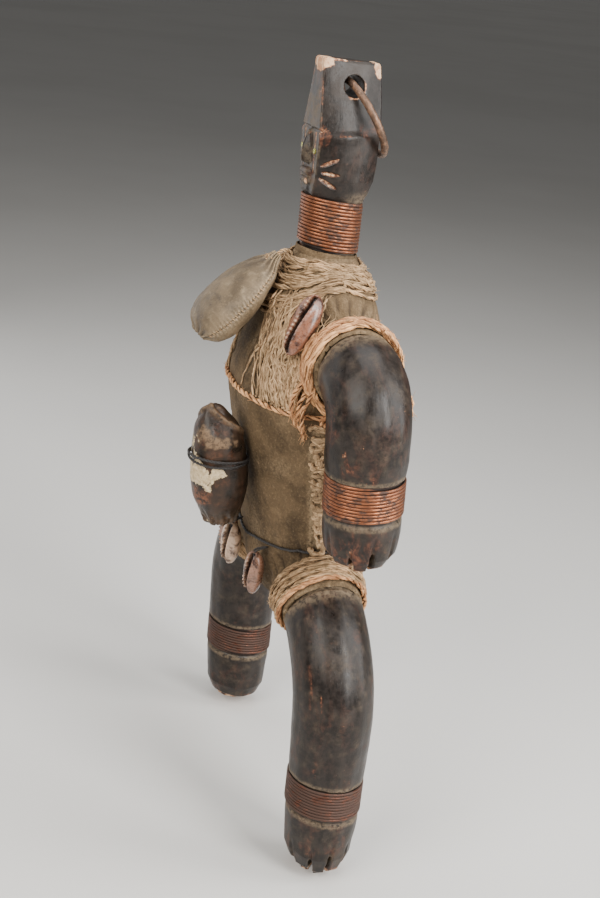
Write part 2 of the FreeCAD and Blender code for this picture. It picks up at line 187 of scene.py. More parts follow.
def frames_along(points, closed=False):
    """Tangent and two steady normals at each point of a path."""
    p = np.asarray(points, float)
    if closed:
        tangent = np.roll(p, -1, 0) - np.roll(p, 1, 0)
    else:
        tangent = np.gradient(p, axis=0)
    tangent /= np.linalg.norm(tangent, axis=1)[:, None]
    side = np.cross(tangent[0], [0.0, 0.0, 1.0])
    if np.linalg.norm(side) < 0.2:
        side = np.cross(tangent[0], [1.0, 0.0, 0.0])
    normals = [unit(side)]
    for t in tangent[1:]:
        n = normals[-1] - t * np.dot(normals[-1], t)
        normals.append(n / np.linalg.norm(n))
    normal = np.array(normals)
    if closed:
        last = unit(normal[-1] - tangent[0] * np.dot(normal[-1], tangent[0]))
        lag = math.atan2(np.dot(np.cross(last, normal[0]), tangent[0]), np.dot(last, normal[0]))
        turn = (np.arange(len(p)) / len(p) * lag)[:, None]
        normal = normal * np.cos(turn) + np.cross(tangent, normal) * np.sin(turn)
    return tangent, normal, np.cross(tangent, normal)


# ---- mesh parts: (vertices, faces) --------------------------------------
def grid_faces(rows, columns, wrap_rows=False):
    """Four-sided faces over a grid of points whose rows close on themselves."""
    faces = []
    for i in range(rows if wrap_rows else rows - 1):
        for j in range(columns):
            a, b = i * columns + j, i * columns + (j + 1) % columns
            k = (i + 1) % rows * columns
            faces.append((a, b, k + (j + 1) % columns, k + j))
    return faces


def tube(points, radius, sides=8, closed=False):
    """A round tube along a path, with capped ends unless it is closed."""
    p = np.asarray(points, float)
    _, normal, other = frames_along(p, closed)
    r = np.broadcast_to(np.asarray(radius, float), (len(p),))[:, None, None]
    angle = circle(sides)[None, :, None]
    ring = p[:, None] + r * (normal[:, None] * np.cos(angle) + other[:, None] * np.sin(angle))
    verts = ring.reshape(-1, 3)
    faces = grid_faces(len(p), sides, wrap_rows=closed)
    if not closed:
        faces.append(tuple(reversed(range(sides))))
        faces.append(tuple((len(p) - 1) * sides + i for i in range(sides)))
    run = lengths_along(p)
    around = np.abs(angle[..., 0] - math.pi) * r[..., 0]
    down = np.broadcast_to(run[:, None], around.shape)
    fibre = np.stack([0 * around, around + p[0, 0], down + p[0, 1]], -1)
    return verts, faces, fibre.reshape(-1, 3)


def rings_to_part(rings):
    """A closed skin through rings of equal count, with a middle point on each end."""
    rings = np.asarray(rings, float)
    rows, columns = rings.shape[:2]
    verts = np.vstack([rings.reshape(-1, 3), rings[0].mean(0)[None], rings[-1].mean(0)[None]])
    faces = grid_faces(rows, columns)
    first, last = rows * columns, rows * columns + 1
    for j in range(columns):
        k = (j + 1) % columns
        faces.append((first, k, j))
        faces.append((last, (rows - 1) * columns + j, (rows - 1) * columns + k))
    return verts, faces


def join(parts):
    """Several parts as one."""
    verts, faces, fibre, base = [], [], [], 0
    for part in parts:
        verts.append(np.asarray(part[0]))
        faces += [tuple(base + i for i in face) for face in part[1]]
        fibre.append(part[2] if len(part) > 2 else np.zeros((len(part[0]), 3)))
        base += len(part[0])
    return np.vstack(verts), faces, np.vstack(fibre)


def mirrored(part):
    """The part on the doll's other side."""
    return (np.asarray(part[0]) * RIGHT_FLIP, [tuple(reversed(face)) for face in part[1]], *part[2:])


def with_painted_shade_and_tone(part, depth):
    """The part with its first fibre value set: how much its material darkens it, as painted shade, and on the
    side lacing as a random darker tone.
    """
    fibre = part[2].copy()
    fibre[:, 0] = depth
    return part[0], part[1], fibre


def twisted(points, radius, pitch=5.0, plies=2, sides=7, closed=False, seed=1, uneven=0.08):
    """A cord of twisted plies along a path, with painted shade where its plies meet."""
    p = np.asarray(points, float)
    run = lengths_along(p)
    total = run[-1] + (np.linalg.norm(p[0] - p[-1]) if closed else 0)
    turns = max(1, round(total / pitch)) if closed else total / pitch
    _, normal, other = frames_along(p, closed)
    loose = 4.0 * uneven * noise(p, 9.0, seed + 11, 2)
    parts = []
    for ply in range(plies):
        angle = (2 * math.pi * (turns * run / total + ply / plies) + loose)[:, None]
        wobble = 1 + uneven * noise(p + 40 * ply, 3.0, seed, 2)[:, None]
        centre = p + radius * 0.47 * wobble * (normal * np.cos(angle) + other * np.sin(angle))
        thick = radius * 0.58 * (1 + uneven * noise(p + 90 * ply, 2.2, seed + 5, 2))
        strand = tube(centre, thick, sides, closed)
        # painted shade: a ply is darker the nearer its surface lies to the cord's middle, where the plies
        # meet
        away = np.linalg.norm(strand[0].reshape(len(p), sides, 3) - p[:, None], axis=2).ravel() / radius
        parts.append(with_painted_shade_and_tone(strand, ramp01(away, 0.90, 0.42)))
    return join(parts)


def stray_fibres(points, radius, count, reach, seed):
    """Thin loose fibres that stand off a cord."""
    rng = np.random.default_rng(seed)
    p = np.asarray(points, float)
    tangent, normal, other = frames_along(p)
    parts = []
    for _ in range(count):
        i = rng.integers(1, len(p) - 1)
        angle = rng.uniform(0, 2 * math.pi)
        out = normal[i] * math.cos(angle) + other[i] * math.sin(angle)
        along_path = tangent[i] * rng.choice([-1, 1])
        side = np.cross(out, along_path) * rng.uniform(-0.6, 0.6)
        long = reach * rng.uniform(0.4, 1.0)
        t = np.linspace(0, 1, 5)[:, None]
        lift = rng.uniform(0.15, 0.5)
        path = p[i] + out * (radius * 0.9 + long * lift * t ** 1.5) + along_path * long * t \
            + side * long * t ** 2
        parts.append(tube(path, np.linspace(0.11, 0.05, 5), 4))
    return join(parts)


def helix(centre, axis, radius, pitch, turns, per_turn=48, start_deg=0.0, uneven=0.0, seed=1):
    """Points of a winding about an axis; centre is the middle of its first turn."""
    axis = unit(axis)
    reference = [0.0, 1.0, 0.0] if abs(axis[1]) < 0.9 else [1.0, 0.0, 0.0]
    first = unit(np.cross(reference, axis))
    second = np.cross(axis, first)
    count = int(turns * per_turn)
    angle = np.linspace(0, 2 * math.pi * turns, count) + math.radians(start_deg)
    round_part = np.outer(np.cos(angle), first) + np.outer(np.sin(angle), second)
    wander = uneven * noise(round_part * 9 + np.outer(angle, [1.3, 0, 0]), 4.0, seed)
    r = radius + 0.4 * np.abs(wander)
    along_axis = pitch * (angle - angle[0]) / (2 * math.pi) + wander
    return centre + round_part * r[:, None] + np.outer(along_axis, axis)


# ---- Blender objects ----------------------------------------------------
def build(name, part, material, smooth=True):
    """A Blender object from a part in doll millimetres."""
    mesh = bpy.data.meshes.new(name)
    mesh.from_pydata((ORIGIN + np.asarray(part[0]) * MM).tolist(), [], part[1])
    mesh.materials.append(material)
    obj = bpy.data.objects.new(name, mesh)
    bpy.context.scene.collection.objects.link(obj)
    if smooth:
        mesh.shade_smooth()
    # the fibre value's first part is how much the material darkens the part: painted shade on cords, mat
    # strands and wire, a random tone on the side lacing
    if len(part) > 2:
        paint(obj, "fibre", part[2])
    return obj


def points_of(obj):
    """The object's vertices in doll millimetres."""
    flat = np.empty(len(obj.data.vertices) * 3)
    obj.data.vertices.foreach_get("co", flat)
    return (flat.reshape(-1, 3) - ORIGIN) / MM


def normals_of(obj):
    flat = np.empty(len(obj.data.vertices) * 3)
    obj.data.vertices.foreach_get("normal", flat)
    return flat.reshape(-1, 3)


def move_points(obj, points):
    obj.data.vertices.foreach_set("co", (ORIGIN + points * MM).ravel())
    obj.data.update()


def apply_modifiers(obj):
    """The object's mesh with its modifiers applied, and none left."""
    graph = bpy.context.evaluated_depsgraph_get()
    old = obj.data
    mesh = bpy.data.meshes.new_from_object(obj.evaluated_get(graph))
    obj.modifiers.clear()
    obj.data = mesh
    bpy.data.meshes.remove(old)
    obj.data.shade_smooth()


def remesh(obj, voxel, smooth_steps):
    """One even skin round everything in the object; voxel in mm."""
    step = obj.modifiers.new("skin", "REMESH")
    step.mode = "VOXEL"
    step.voxel_size = voxel * MM
    step.use_smooth_shade = True
    if smooth_steps:
        soften = obj.modifiers.new("soften", "SMOOTH")
        soften.iterations = smooth_steps
        soften.factor = 0.5
    apply_modifiers(obj)


def open_skin(obj, inside):
    """Takes away the faces that touch the marked points."""
    mesh = bmesh.new()
    mesh.from_mesh(obj.data)
    bmesh.ops.delete(mesh, geom=[v for v, gone in zip(list(mesh.verts), inside) if gone], context="VERTS")
    mesh.to_mesh(obj.data)
    mesh.free()
    obj.data.update()


def cut(obj, part):
    """Takes a closed part away from the object."""
    tool = build("cutter", part, obj.data.materials[0])
    step = obj.modifiers.new("cut", "BOOLEAN")
    step.operation = "DIFFERENCE"
    step.solver = "EXACT"
    step.object = tool
    apply_modifiers(obj)
    bpy.data.objects.remove(tool)


def paint(obj, name, values):
    """A number, or three, at each vertex for the material to read."""
    values = np.asarray(values, float)
    if values.ndim == 1:
        layer = obj.data.attributes.new(name, "FLOAT", "POINT")
        layer.data.foreach_set("value", values)
    else:
        layer = obj.data.attributes.new(name, "FLOAT_VECTOR", "POINT")
        layer.data.foreach_set("vector", values.ravel())


def edge_wear(obj, rounds=3):
    """How sharply the skin bends outward at each vertex, spread over its neighbours."""
    mesh = obj.data
    pairs = np.empty(len(mesh.edges) * 2, int)
    mesh.edges.foreach_get("vertices", pairs)
    a, b = pairs.reshape(-1, 2).T
    p, n = points_of(obj), normals_of(obj)
    step = p[b] - p[a]
    size = np.linalg.norm(step, axis=1) + 1e-9
    bend = np.zeros(len(p))
    count = np.zeros(len(p))
    np.add.at(bend, a, -(n[a] * step).sum(1) / size ** 2)
    np.add.at(bend, b, (n[b] * step).sum(1) / size ** 2)
    np.add.at(count, a, 1)
    np.add.at(count, b, 1)
    bend /= count
    for _ in range(rounds):
        total = bend.copy()
        np.add.at(total, a, bend[b])
        np.add.at(total, b, bend[a])
        bend = total / (count + 1)
    return bend


def dress(obj, body, node):
    """Rides a piece on its body, in place of its CAD node."""
    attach(obj, body)
    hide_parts(node)
    return obj


def piece(name, parts, material, body, node):
    """A piece made of joined parts, riding its body in place of its CAD node."""
    dress(build(name, join(parts), material), body, node)


# ---- materials ----------------------------------------------------------
class Shade:
    """A short way to write one node material.  Sizes are in mm."""

    def __init__(self, name):
        self.material = bpy.data.materials.new(name)
        self.material.use_nodes = True
        self.tree = self.material.node_tree
        self.shader = self.tree.nodes["Principled BSDF"]
        where = self.tree.nodes.new("ShaderNodeTexCoord")
        scale = self.tree.nodes.new("ShaderNodeVectorMath")
        scale.operation = "SCALE"
        scale.inputs["Scale"].default_value = 1 / MM
        self.tree.links.new(where.outputs["Object"], scale.inputs[0])
        self.place = scale.outputs[0]

    def feed(self, socket, value):
        if hasattr(value, "is_output"):
            self.tree.links.new(value, socket)
        else:
            socket.default_value = value

    def noise(self, size, detail=4.0, rough=0.55, warp=0.0, place=None):
        node = self.tree.nodes.new("ShaderNodeTexNoise")
        node.inputs["Scale"].default_value = 1 / size
        node.inputs["Detail"].default_value = detail
        node.inputs["Roughness"].default_value = rough
        node.inputs["Distortion"].default_value = warp
        self.feed(node.inputs["Vector"], place or self.place)
        return node.outputs["Fac"]

    def cells(self, size, feature="F1", place=None):
        node = self.tree.nodes.new("ShaderNodeTexVoronoi")
        node.feature = feature
        node.inputs["Scale"].default_value = 1 / size
        self.feed(node.inputs["Vector"], place or self.place)
        return node.outputs["Distance"]

    def stretched(self, x, y, z, source=None):
        node = self.tree.nodes.new("ShaderNodeVectorMath")
        node.operation = "MULTIPLY"
        self.feed(node.inputs[0], source or self.place)
        node.inputs[1].default_value = (x, y, z)
        return node.outputs[0]

    def read(self, name, vector=False):
        node = self.tree.nodes.new("ShaderNodeAttribute")
        node.attribute_name = name
        return node.outputs["Vector" if vector else "Fac"]

    def first(self, vector):
        node = self.tree.nodes.new("ShaderNodeSeparateXYZ")
        self.feed(node.inputs[0], vector)
        return node.outputs[0]

    def times(self, a, b):
        return self.math("MULTIPLY", a, b)

    def plus(self, a, b):
        return self.math("ADD", a, b)

    def over(self, under, tone, value, low, high, most):
        """A tone laid over a colour as value goes from low to high."""
        return self.blend(self.step(value, low, high, 0.0, most), under, tone)

    def math(self, operation, a, b):
        node = self.tree.nodes.new("ShaderNodeMath")
        node.operation = operation
        self.feed(node.inputs[0], a)
        self.feed(node.inputs[1], b)
        return node.outputs[0]

    def step(self, value, low, high, out_low=0.0, out_high=1.0):
        node = self.tree.nodes.new("ShaderNodeMapRange")
        node.interpolation_type = "SMOOTHSTEP"
        self.feed(node.inputs["Value"], value)
        node.inputs["From Min"].default_value = low
        node.inputs["From Max"].default_value = high
        node.inputs["To Min"].default_value = out_low
        node.inputs["To Max"].default_value = out_high
        return node.outputs["Result"]

    def blend(self, part, a, b):
        node = self.tree.nodes.new("ShaderNodeMix")
        node.data_type = "RGBA"
        self.feed(node.inputs[0], part)
        self.feed(node.inputs[6], a if hasattr(a, "is_output") else (*a, 1.0))
        self.feed(node.inputs[7], b if hasattr(b, "is_output") else (*b, 1.0))
        return node.outputs[2]

    def relief(self, height, depth, under=None):
        node = self.tree.nodes.new("ShaderNodeBump")
        node.inputs["Strength"].default_value = 1.0
        node.inputs["Distance"].default_value = depth * MM
        self.feed(node.inputs["Height"], height)
        if under is not None:
            self.feed(node.inputs["Normal"], under)
        return node.outputs["Normal"]

    def done(self, color, rough, normal=None, metal=None, **fixed):
        self.feed(self.shader.inputs["Base Color"], color)
        self.feed(self.shader.inputs["Roughness"], rough)
        if normal is not None:
            self.feed(self.shader.inputs["Normal"], normal)
        if metal is not None:
            self.feed(self.shader.inputs["Metallic"], metal)
        for name, value in fixed.items():
            self.shader.inputs[name.replace("_", " ")].default_value = value
        return self.material


def wood_material():
    """Near-black rubbed wood: faint grain, red-brown wear, grey bloom and pale chips, with a painted
    highlight round the head's bore.
    """
    s = Shade("dark_wood")
    grain = s.read("grain", vector=True)
    fine = s.noise(1.1, 4, 0.6, 0.5, s.stretched(1.0, 1.0, 0.13, grain))
    pores = s.noise(0.45, 3, 0.6, 0.0, s.stretched(1.0, 1.0, 0.3, grain))
    cloud = s.noise(15, 5, 0.6, 0.7)
    mottle = s.noise(2.6, 5, 0.7, 0.3)
    patch = s.noise(8, 5, 0.65, 0.9, place=s.stretched(1.0, 1.0, 0.7, grain))
    dark = s.blend(s.step(mottle, 0.35, 0.7), (0.0080, 0.0060, 0.0050), (0.0190, 0.0140, 0.0115))
    dark = s.blend(s.step(cloud, 0.44, 0.70, 0.0, 0.7), dark, (0.035, 0.0265, 0.0215))
    red_zone = s.times(s.step(patch, 0.47, 0.64), s.plus(s.read("red"), 0.02))
    red = s.blend(s.step(mottle, 0.38, 0.64), (0.030, 0.0110, 0.0070), (0.120, 0.044, 0.023))
    color = s.blend(red_zone, dark, red)
    speck = s.step(s.noise(1.1, 4, 0.7, 0.3), 0.66, 0.72, 0.0, 0.8)
    color = s.blend(s.times(speck, s.step(patch, 0.5, 0.66)), color, (0.36, 0.185, 0.095))
    color = s.over(color, (0.050, 0.034, 0.027), pores, 0.64, 0.78, 0.35)
    dusty = s.times(s.read("dust"), s.step(s.noise(1.6, 5, 0.75), 0.34, 0.60))
    color = s.blend(dusty, color, (0.150, 0.110, 0.070))
    # wear: edge wear and chips; on the head it also holds a painted highlight round the lit lower side of the
    # bore
    edge = s.plus(s.read("wear"), s.step(s.noise(1.8, 4, 0.7), 0.3, 0.75, -0.26, 0.26))
    chip = s.step(edge, 0.52, 0.74)
    pale = s.blend(s.step(s.noise(2.4, 4, 0.6), 0.38, 0.62), (0.40, 0.20, 0.105), (0.62, 0.42, 0.26))
    color = s.over(color, (0.155, 0.060, 0.030), edge, 0.26, 0.60, 0.9)
    color = s.blend(chip, color, pale)
    rough = s.step(cloud, 0.3, 0.75, 0.31, 0.46)
    rough = s.plus(rough, s.times(s.plus(chip, dusty), 0.30))
    rough = s.plus(rough, s.step(mottle, 0.3, 0.7, -0.05, 0.05))
    normal = s.relief(s.noise(5.5, 2, 0.4), 0.06)
    normal = s.relief(fine, 0.035, normal)
    normal = s.relief(s.step(pores, 0.3, 0.42), 0.02, normal)
    return s.done(color, rough, normal, Specular_IOR_Level=0.27)


def copper_material(name, bright, dull, cover):
    """Drawn copper wire, rubbed bright on its crests, with painted shade dark in its gaps; cover is how much
    is tarnished.
    """
    s = Shade(name)
    wire = s.read("fibre", vector=True)
    tarnish = s.noise(5.5, 5, 0.65, 0.5)
    small = s.noise(1.0, 4, 0.65, 0.2, s.stretched(0.0, 1.0, 0.35, wire))
    level = s.plus(tarnish, s.step(small, 0.3, 0.7, -0.09, 0.09))
    # painted shade: the first fibre value marks the wire's inner side, which goes dark, rougher and less
    # metallic
    gap_shade = s.first(wire)
    rubbed = s.step(level, 0.66 - cover * 0.3, 0.50 - cover * 0.3)
    metal_color = s.blend(s.step(small, 0.3, 0.7), bright, dull)
    color = s.blend(s.math("SUBTRACT", 1.0, rubbed), metal_color, (0.060, 0.032, 0.023))
    color = s.blend(s.step(gap_shade, 0.15, 0.85), color, (0.018, 0.011, 0.009))
    rough = s.plus(s.step(rubbed, 0.0, 1.0, 0.58, 0.38), s.step(gap_shade, 0.2, 0.9, 0.0, 0.35))
    metal = s.times(s.step(rubbed, 0.0, 1.0, 0.25, 0.80), s.step(gap_shade, 0.3, 0.9, 1.0, 0.3))
    return s.done(color, rough, s.relief(small, 0.04), metal, Specular_IOR_Level=0.3)


def hide_material():
    """Thin hide with earth rubbed in: fine grain, painted shade in its creases, darker handled parts."""
    s = Shade("body_hide")
    broad = s.noise(24, 4, 0.55, 0.5)
    middle = s.noise(6, 5, 0.65, 0.7)
    small = s.noise(1.1, 5, 0.72)
    dots = s.cells(0.55)
    color = s.blend(s.step(broad, 0.36, 0.64), (0.058, 0.039, 0.022), (0.125, 0.084, 0.046))
    color = s.over(color, (0.215, 0.145, 0.082), middle, 0.44, 0.80, 0.55)
    color = s.over(color, (0.044, 0.031, 0.020), middle, 0.46, 0.22, 0.6)
    color = s.over(color, (0.27, 0.190, 0.110), small, 0.50, 0.74, 0.55)
    color = s.over(color, (0.050, 0.034, 0.022), small, 0.44, 0.30, 0.6)
    color = s.over(color, (0.046, 0.032, 0.022), dots, 0.30, 0.06, 0.6)
    # painted shade in the hide's pleats, folds and bottom seam
    color = s.blend(s.times(s.read("crease_shade"), 0.85), color, (0.036, 0.025, 0.017))
    color = s.blend(s.times(s.read("rubbed"), s.step(small, 0.34, 0.58)), color, (0.38, 0.275, 0.165))
    rough = s.step(middle, 0.3, 0.7, 0.76, 0.92)
    normal = s.relief(middle, 0.22)
    normal = s.relief(small, 0.34, normal)
    normal = s.relief(dots, 0.14, normal)
    return s.done(color, rough, normal, Specular_IOR_Level=0.15)


def fibre_material(name, dark, light, dirt, dirt_part):
    """Plant fibre: fine streaks along the strands, earth in patches, and painted shade in the hollows where
    plies meet and strands lie low.
    """
    s = Shade(name)
    fibre = s.read("fibre", vector=True)
    streak = s.noise(0.42, 4, 0.7, 0.6, s.stretched(0.0, 1.0, 0.10, fibre))
    tone = s.noise(3.4, 3, 0.6, 0.0, s.stretched(0.0, 0.3, 0.3, fibre))
    patch = s.noise(4.5, 4, 0.65, 0.5)
    color = s.blend(s.step(streak, 0.34, 0.66), dark, light)
    pale = tuple(min(1, c * k) for c, k in zip(light, (1.35, 1.25, 1.2)))
    color = s.over(color, pale, tone, 0.52, 0.66, 0.7)
    color = s.over(color, dark, tone, 0.46, 0.34, 0.7)
    color = s.over(color, dirt, patch, 0.60 - dirt_part * 0.3, 0.80 - dirt_part * 0.3, 0.9)
    # painted shade from the first fibre value: near black where plies meet and mat strands lie low; on the
    # side lacing a random darker tone
    color = s.over(color, tuple(c * 0.16 for c in dark), s.first(fibre), 0.05, 0.85, 0.92)
    normal = s.relief(streak, 0.30)
    normal = s.relief(s.noise(1.4, 4, 0.65), 0.22, normal)
    return s.done(color, s.step(patch, 0.3, 0.7, 0.70, 0.92), normal, Specular_IOR_Level=0.28)


def pouch_material():
    """Grey-brown leather, pebbled and rubbed along its edges, with painted shade in its folds."""
    s = Shade("pouch_leather")
    broad = s.noise(15, 4, 0.55, 0.6)
    middle = s.noise(4.2, 5, 0.62, 0.4)
    small = s.noise(0.8, 4, 0.65)
    pebble = s.cells(0.95)
    color = s.blend(s.step(broad, 0.35, 0.65), (0.080, 0.056, 0.032), (0.160, 0.114, 0.066))
    color = s.over(color, (0.240, 0.182, 0.112), middle, 0.52, 0.74, 0.75)
    color = s.over(color, (0.048, 0.036, 0.025), middle, 0.44, 0.28, 0.7)
    color = s.over(color, (0.270, 0.200, 0.120), small, 0.56, 0.74, 0.5)
    # painted shade in the pouch's folds, seam ditches and crimped end
    color = s.blend(s.times(s.read("crease_shade"), 0.8), color, (0.034, 0.024, 0.016))
    color = s.blend(s.times(s.read("rubbed"), s.step(small, 0.36, 0.6)), color, (0.32, 0.235, 0.140))
    rough = s.step(broad, 0.3, 0.7, 0.50, 0.66)
    normal = s.relief(middle, 0.16)
    normal = s.relief(pebble, 0.06, normal)
    normal = s.relief(small, 0.08, normal)
    return s.done(color, rough, normal, Specular_IOR_Level=0.4)


def amulet_material():
    """Lacquered hide: black-brown gloss worn through to red-brown, with a chalky cream coat."""
    s = Shade("lacquered_hide")
    broad = s.noise(9, 4, 0.6, 0.7)
    small = s.noise(1.6, 5, 0.7)
    color = s.blend(s.step(broad, 0.36, 0.62), (0.012, 0.0085, 0.006), (0.036, 0.020, 0.012))
    red = s.times(s.read("red"), s.step(small, 0.38, 0.62))
    color = s.blend(red, color, (0.165, 0.062, 0.030))
    tan = s.times(s.read("tan"), s.step(small, 0.30, 0.60))
    color = s.blend(tan, color, (0.250, 0.160, 0.090))
    cream = s.step(s.plus(s.read("cream"), s.step(small, 0.3, 0.7, -0.35, 0.35)), 0.42, 0.60)
    color = s.blend(cream, color, s.blend(s.step(small, 0.35, 0.65), (0.38, 0.28, 0.155), (0.62, 0.50, 0.32)))
    rough = s.plus(s.step(broad, 0.3, 0.7, 0.26, 0.46), s.times(s.plus(cream, tan), 0.35))
    normal = s.relief(small, 0.20)
    normal = s.relief(cream, 0.18, normal)
    return s.done(color, rough, normal, Specular_IOR_Level=0.3)


def cowrie_material():
    """Shell stained red-brown: pale where it is rubbed and where a highlight is painted, near black in its
    slit as painted shade.
    """
    s = Shade("cowrie_shell")
    broad = s.noise(5.0, 4, 0.6, 0.6)
    small = s.noise(0.9, 4, 0.65)
    color = s.blend(s.step(broad, 0.38, 0.60), (0.045, 0.017, 0.011), (0.190, 0.066, 0.034))
    color = s.over(color, (0.30, 0.130, 0.066), small, 0.58, 0.72, 0.40)
    # high: pale where the shell is rubbed, and on the middle belly shell a painted highlight
    color = s.blend(s.times(s.read("high"), s.step(broad, 0.34, 0.56)), color, (0.60, 0.42, 0.29))
    # painted shade: the slit is near black
    color = s.blend(s.read("slit"), color, (0.012, 0.007, 0.006))
    rough = s.step(small, 0.3, 0.7, 0.22, 0.40)
    normal = s.relief(small, 0.06)
    return s.done(color, rough, normal, Specular_IOR_Level=0.6, Coat_Weight=0.2, Coat_Roughness=0.2)


def iron_material():
    """Forged iron, brown with rust."""
    s = Shade("iron_ring")
    rust = s.noise(3.2, 5, 0.65, 0.5)
    small = s.noise(0.7, 4, 0.7)
    color = s.blend(s.step(rust, 0.40, 0.62), (0.105, 0.066, 0.046), (0.200, 0.104, 0.058))
    color = s.over(color, (0.040, 0.024, 0.018), small, 0.56, 0.74, 0.7)
    metal = s.step(rust, 0.42, 0.62, 0.75, 0.15)
    rough = s.step(small, 0.3, 0.7, 0.34, 0.60)
    normal = s.relief(small, 0.12, s.relief(rust, 0.14))
    return s.done(color, rough, normal, metal)


def plain_material(name, color, shade, size, rough, **fixed):
    """A quiet two-tone material with a fine relief."""
    s = Shade(name)
    value = s.noise(size, 4, 0.65)
    return s.done(s.blend(s.step(value, 0.35, 0.65), color, shade), rough, s.relief(value, 0.05), **fixed)


WOOD = wood_material()
COPPER = copper_material("copper_wire", (0.34, 0.128, 0.060), (0.16, 0.064, 0.037), 0.10)
DARK_COPPER = copper_material("dark_copper_wire", (0.130, 0.052, 0.033), (0.060, 0.029, 0.020), 0.50)
HIDE = hide_material()
CORD = fibre_material("fibre_cord", (0.25, 0.098, 0.040), (0.82, 0.450, 0.215), (0.230, 0.140, 0.070), 0.20)
DUSTY_CORD = fibre_material("dusty_cord", (0.200, 0.118, 0.060), (0.55, 0.370, 0.205), (0.230, 0.150, 0.080),
                            0.5)
MAT = fibre_material("fibre_mat", (0.230, 0.138, 0.070), (0.76, 0.520, 0.300), (0.280, 0.188, 0.104), 0.40)
DARK_CORD = plain_material("dark_cord", (0.010, 0.009, 0.009), (0.030, 0.026, 0.024), 0.6, 0.55)
POUCH = pouch_material()
AMULET = amulet_material()
COWRIE = cowrie_material()
IRON = iron_material()
BEAD = plain_material("bead", (0.25, 0.25, 0.05), (0.36, 0.33, 0.09), 0.7, 0.25)
FILLING = plain_material("fibre_stuffing", (0.30, 0.22, 0.13), (0.45, 0.35, 0.22), 1.5, 0.9)
FLOOR = plain_material("studio_floor", (0.60, 0.59, 0.57), (0.64, 0.63, 0.61), 900, 0.75)


# ---- the hide body ------------------------------------------------------
def through(x, table, column):
    """A smooth curve through one column of a table whose first column rises."""
    xs, ys = table[:, 0], table[:, column]
    slope = np.gradient(ys, xs)
    i = np.clip(np.searchsorted(xs, x) - 1, 0, len(xs) - 2)
    h = xs[i + 1] - xs[i]
    t = np.clip((x - xs[i]) / h, 0, 1)
    return ((2 * t ** 3 - 3 * t ** 2 + 1) * ys[i] + (t ** 3 - 2 * t ** 2 + t) * h * slope[i]
            + (3 * t ** 2 - 2 * t ** 3) * ys[i + 1] + (t ** 3 - t ** 2) * h * slope[i + 1])


def torso_at(degrees, z):
    """A point on the torso form; 0 degrees is the left side, 90 the front."""
    a = np.radians(degrees)
    z = np.asarray(z, float)
    half_x, half_y, centre = (through(z, TORSO, i) for i in (1, 2, 3))
    return np.stack([half_x * np.cos(a), centre - half_y * np.sin(a), z + 0 * a], axis=-1)


def root_frame(root, drop_deg, side=1):
    """Start, direction and outer side of a limb root."""
    drop = math.radians(drop_deg)
    flip = np.array([side, 1.0, 1.0])
    return root * flip, np.array([math.cos(drop), 0, -math.sin(drop)]) * flip, \
        np.array([math.sin(drop), 0, math.cos(drop)]) * flip


# left arm, right arm, left leg, right leg
ROOTS = [root_frame(root, drop, side) for root, drop in ((ARM_ROOT, 0.0), (LEG_ROOT, LEG_DROP_DEG))
         for side in (1, -1)]



def clear_mouth(p, mouth, direction, radius):
    """Skin points kept off what comes out of a mouth, and which of them the mouth takes away."""
    axial = (p - mouth) @ direction
    across = p - mouth - axial[:, None] * direction
    radial = np.linalg.norm(across, axis=1)
    past = (axial > 0) & (axial < 6) & (radial < 26)
    p = p - direction * np.where(past, axial, 0)[:, None]
    axial = np.where(past, 0, axial)
    end = (axial > -1.2) & (axial < 0.5)
    inner = end & (radial < radius)
    side = (axial > -12) & (axial < 0.5) & (radial >= radius - 1.2) & (radial < radius)
    edge = end & (radial >= radius) & (radial < radius + 1.0)
    outward = np.where((side | edge) & ~inner, radius / np.maximum(radial, 0.1) - 1, 0)
    return p + across * outward[:, None], inner


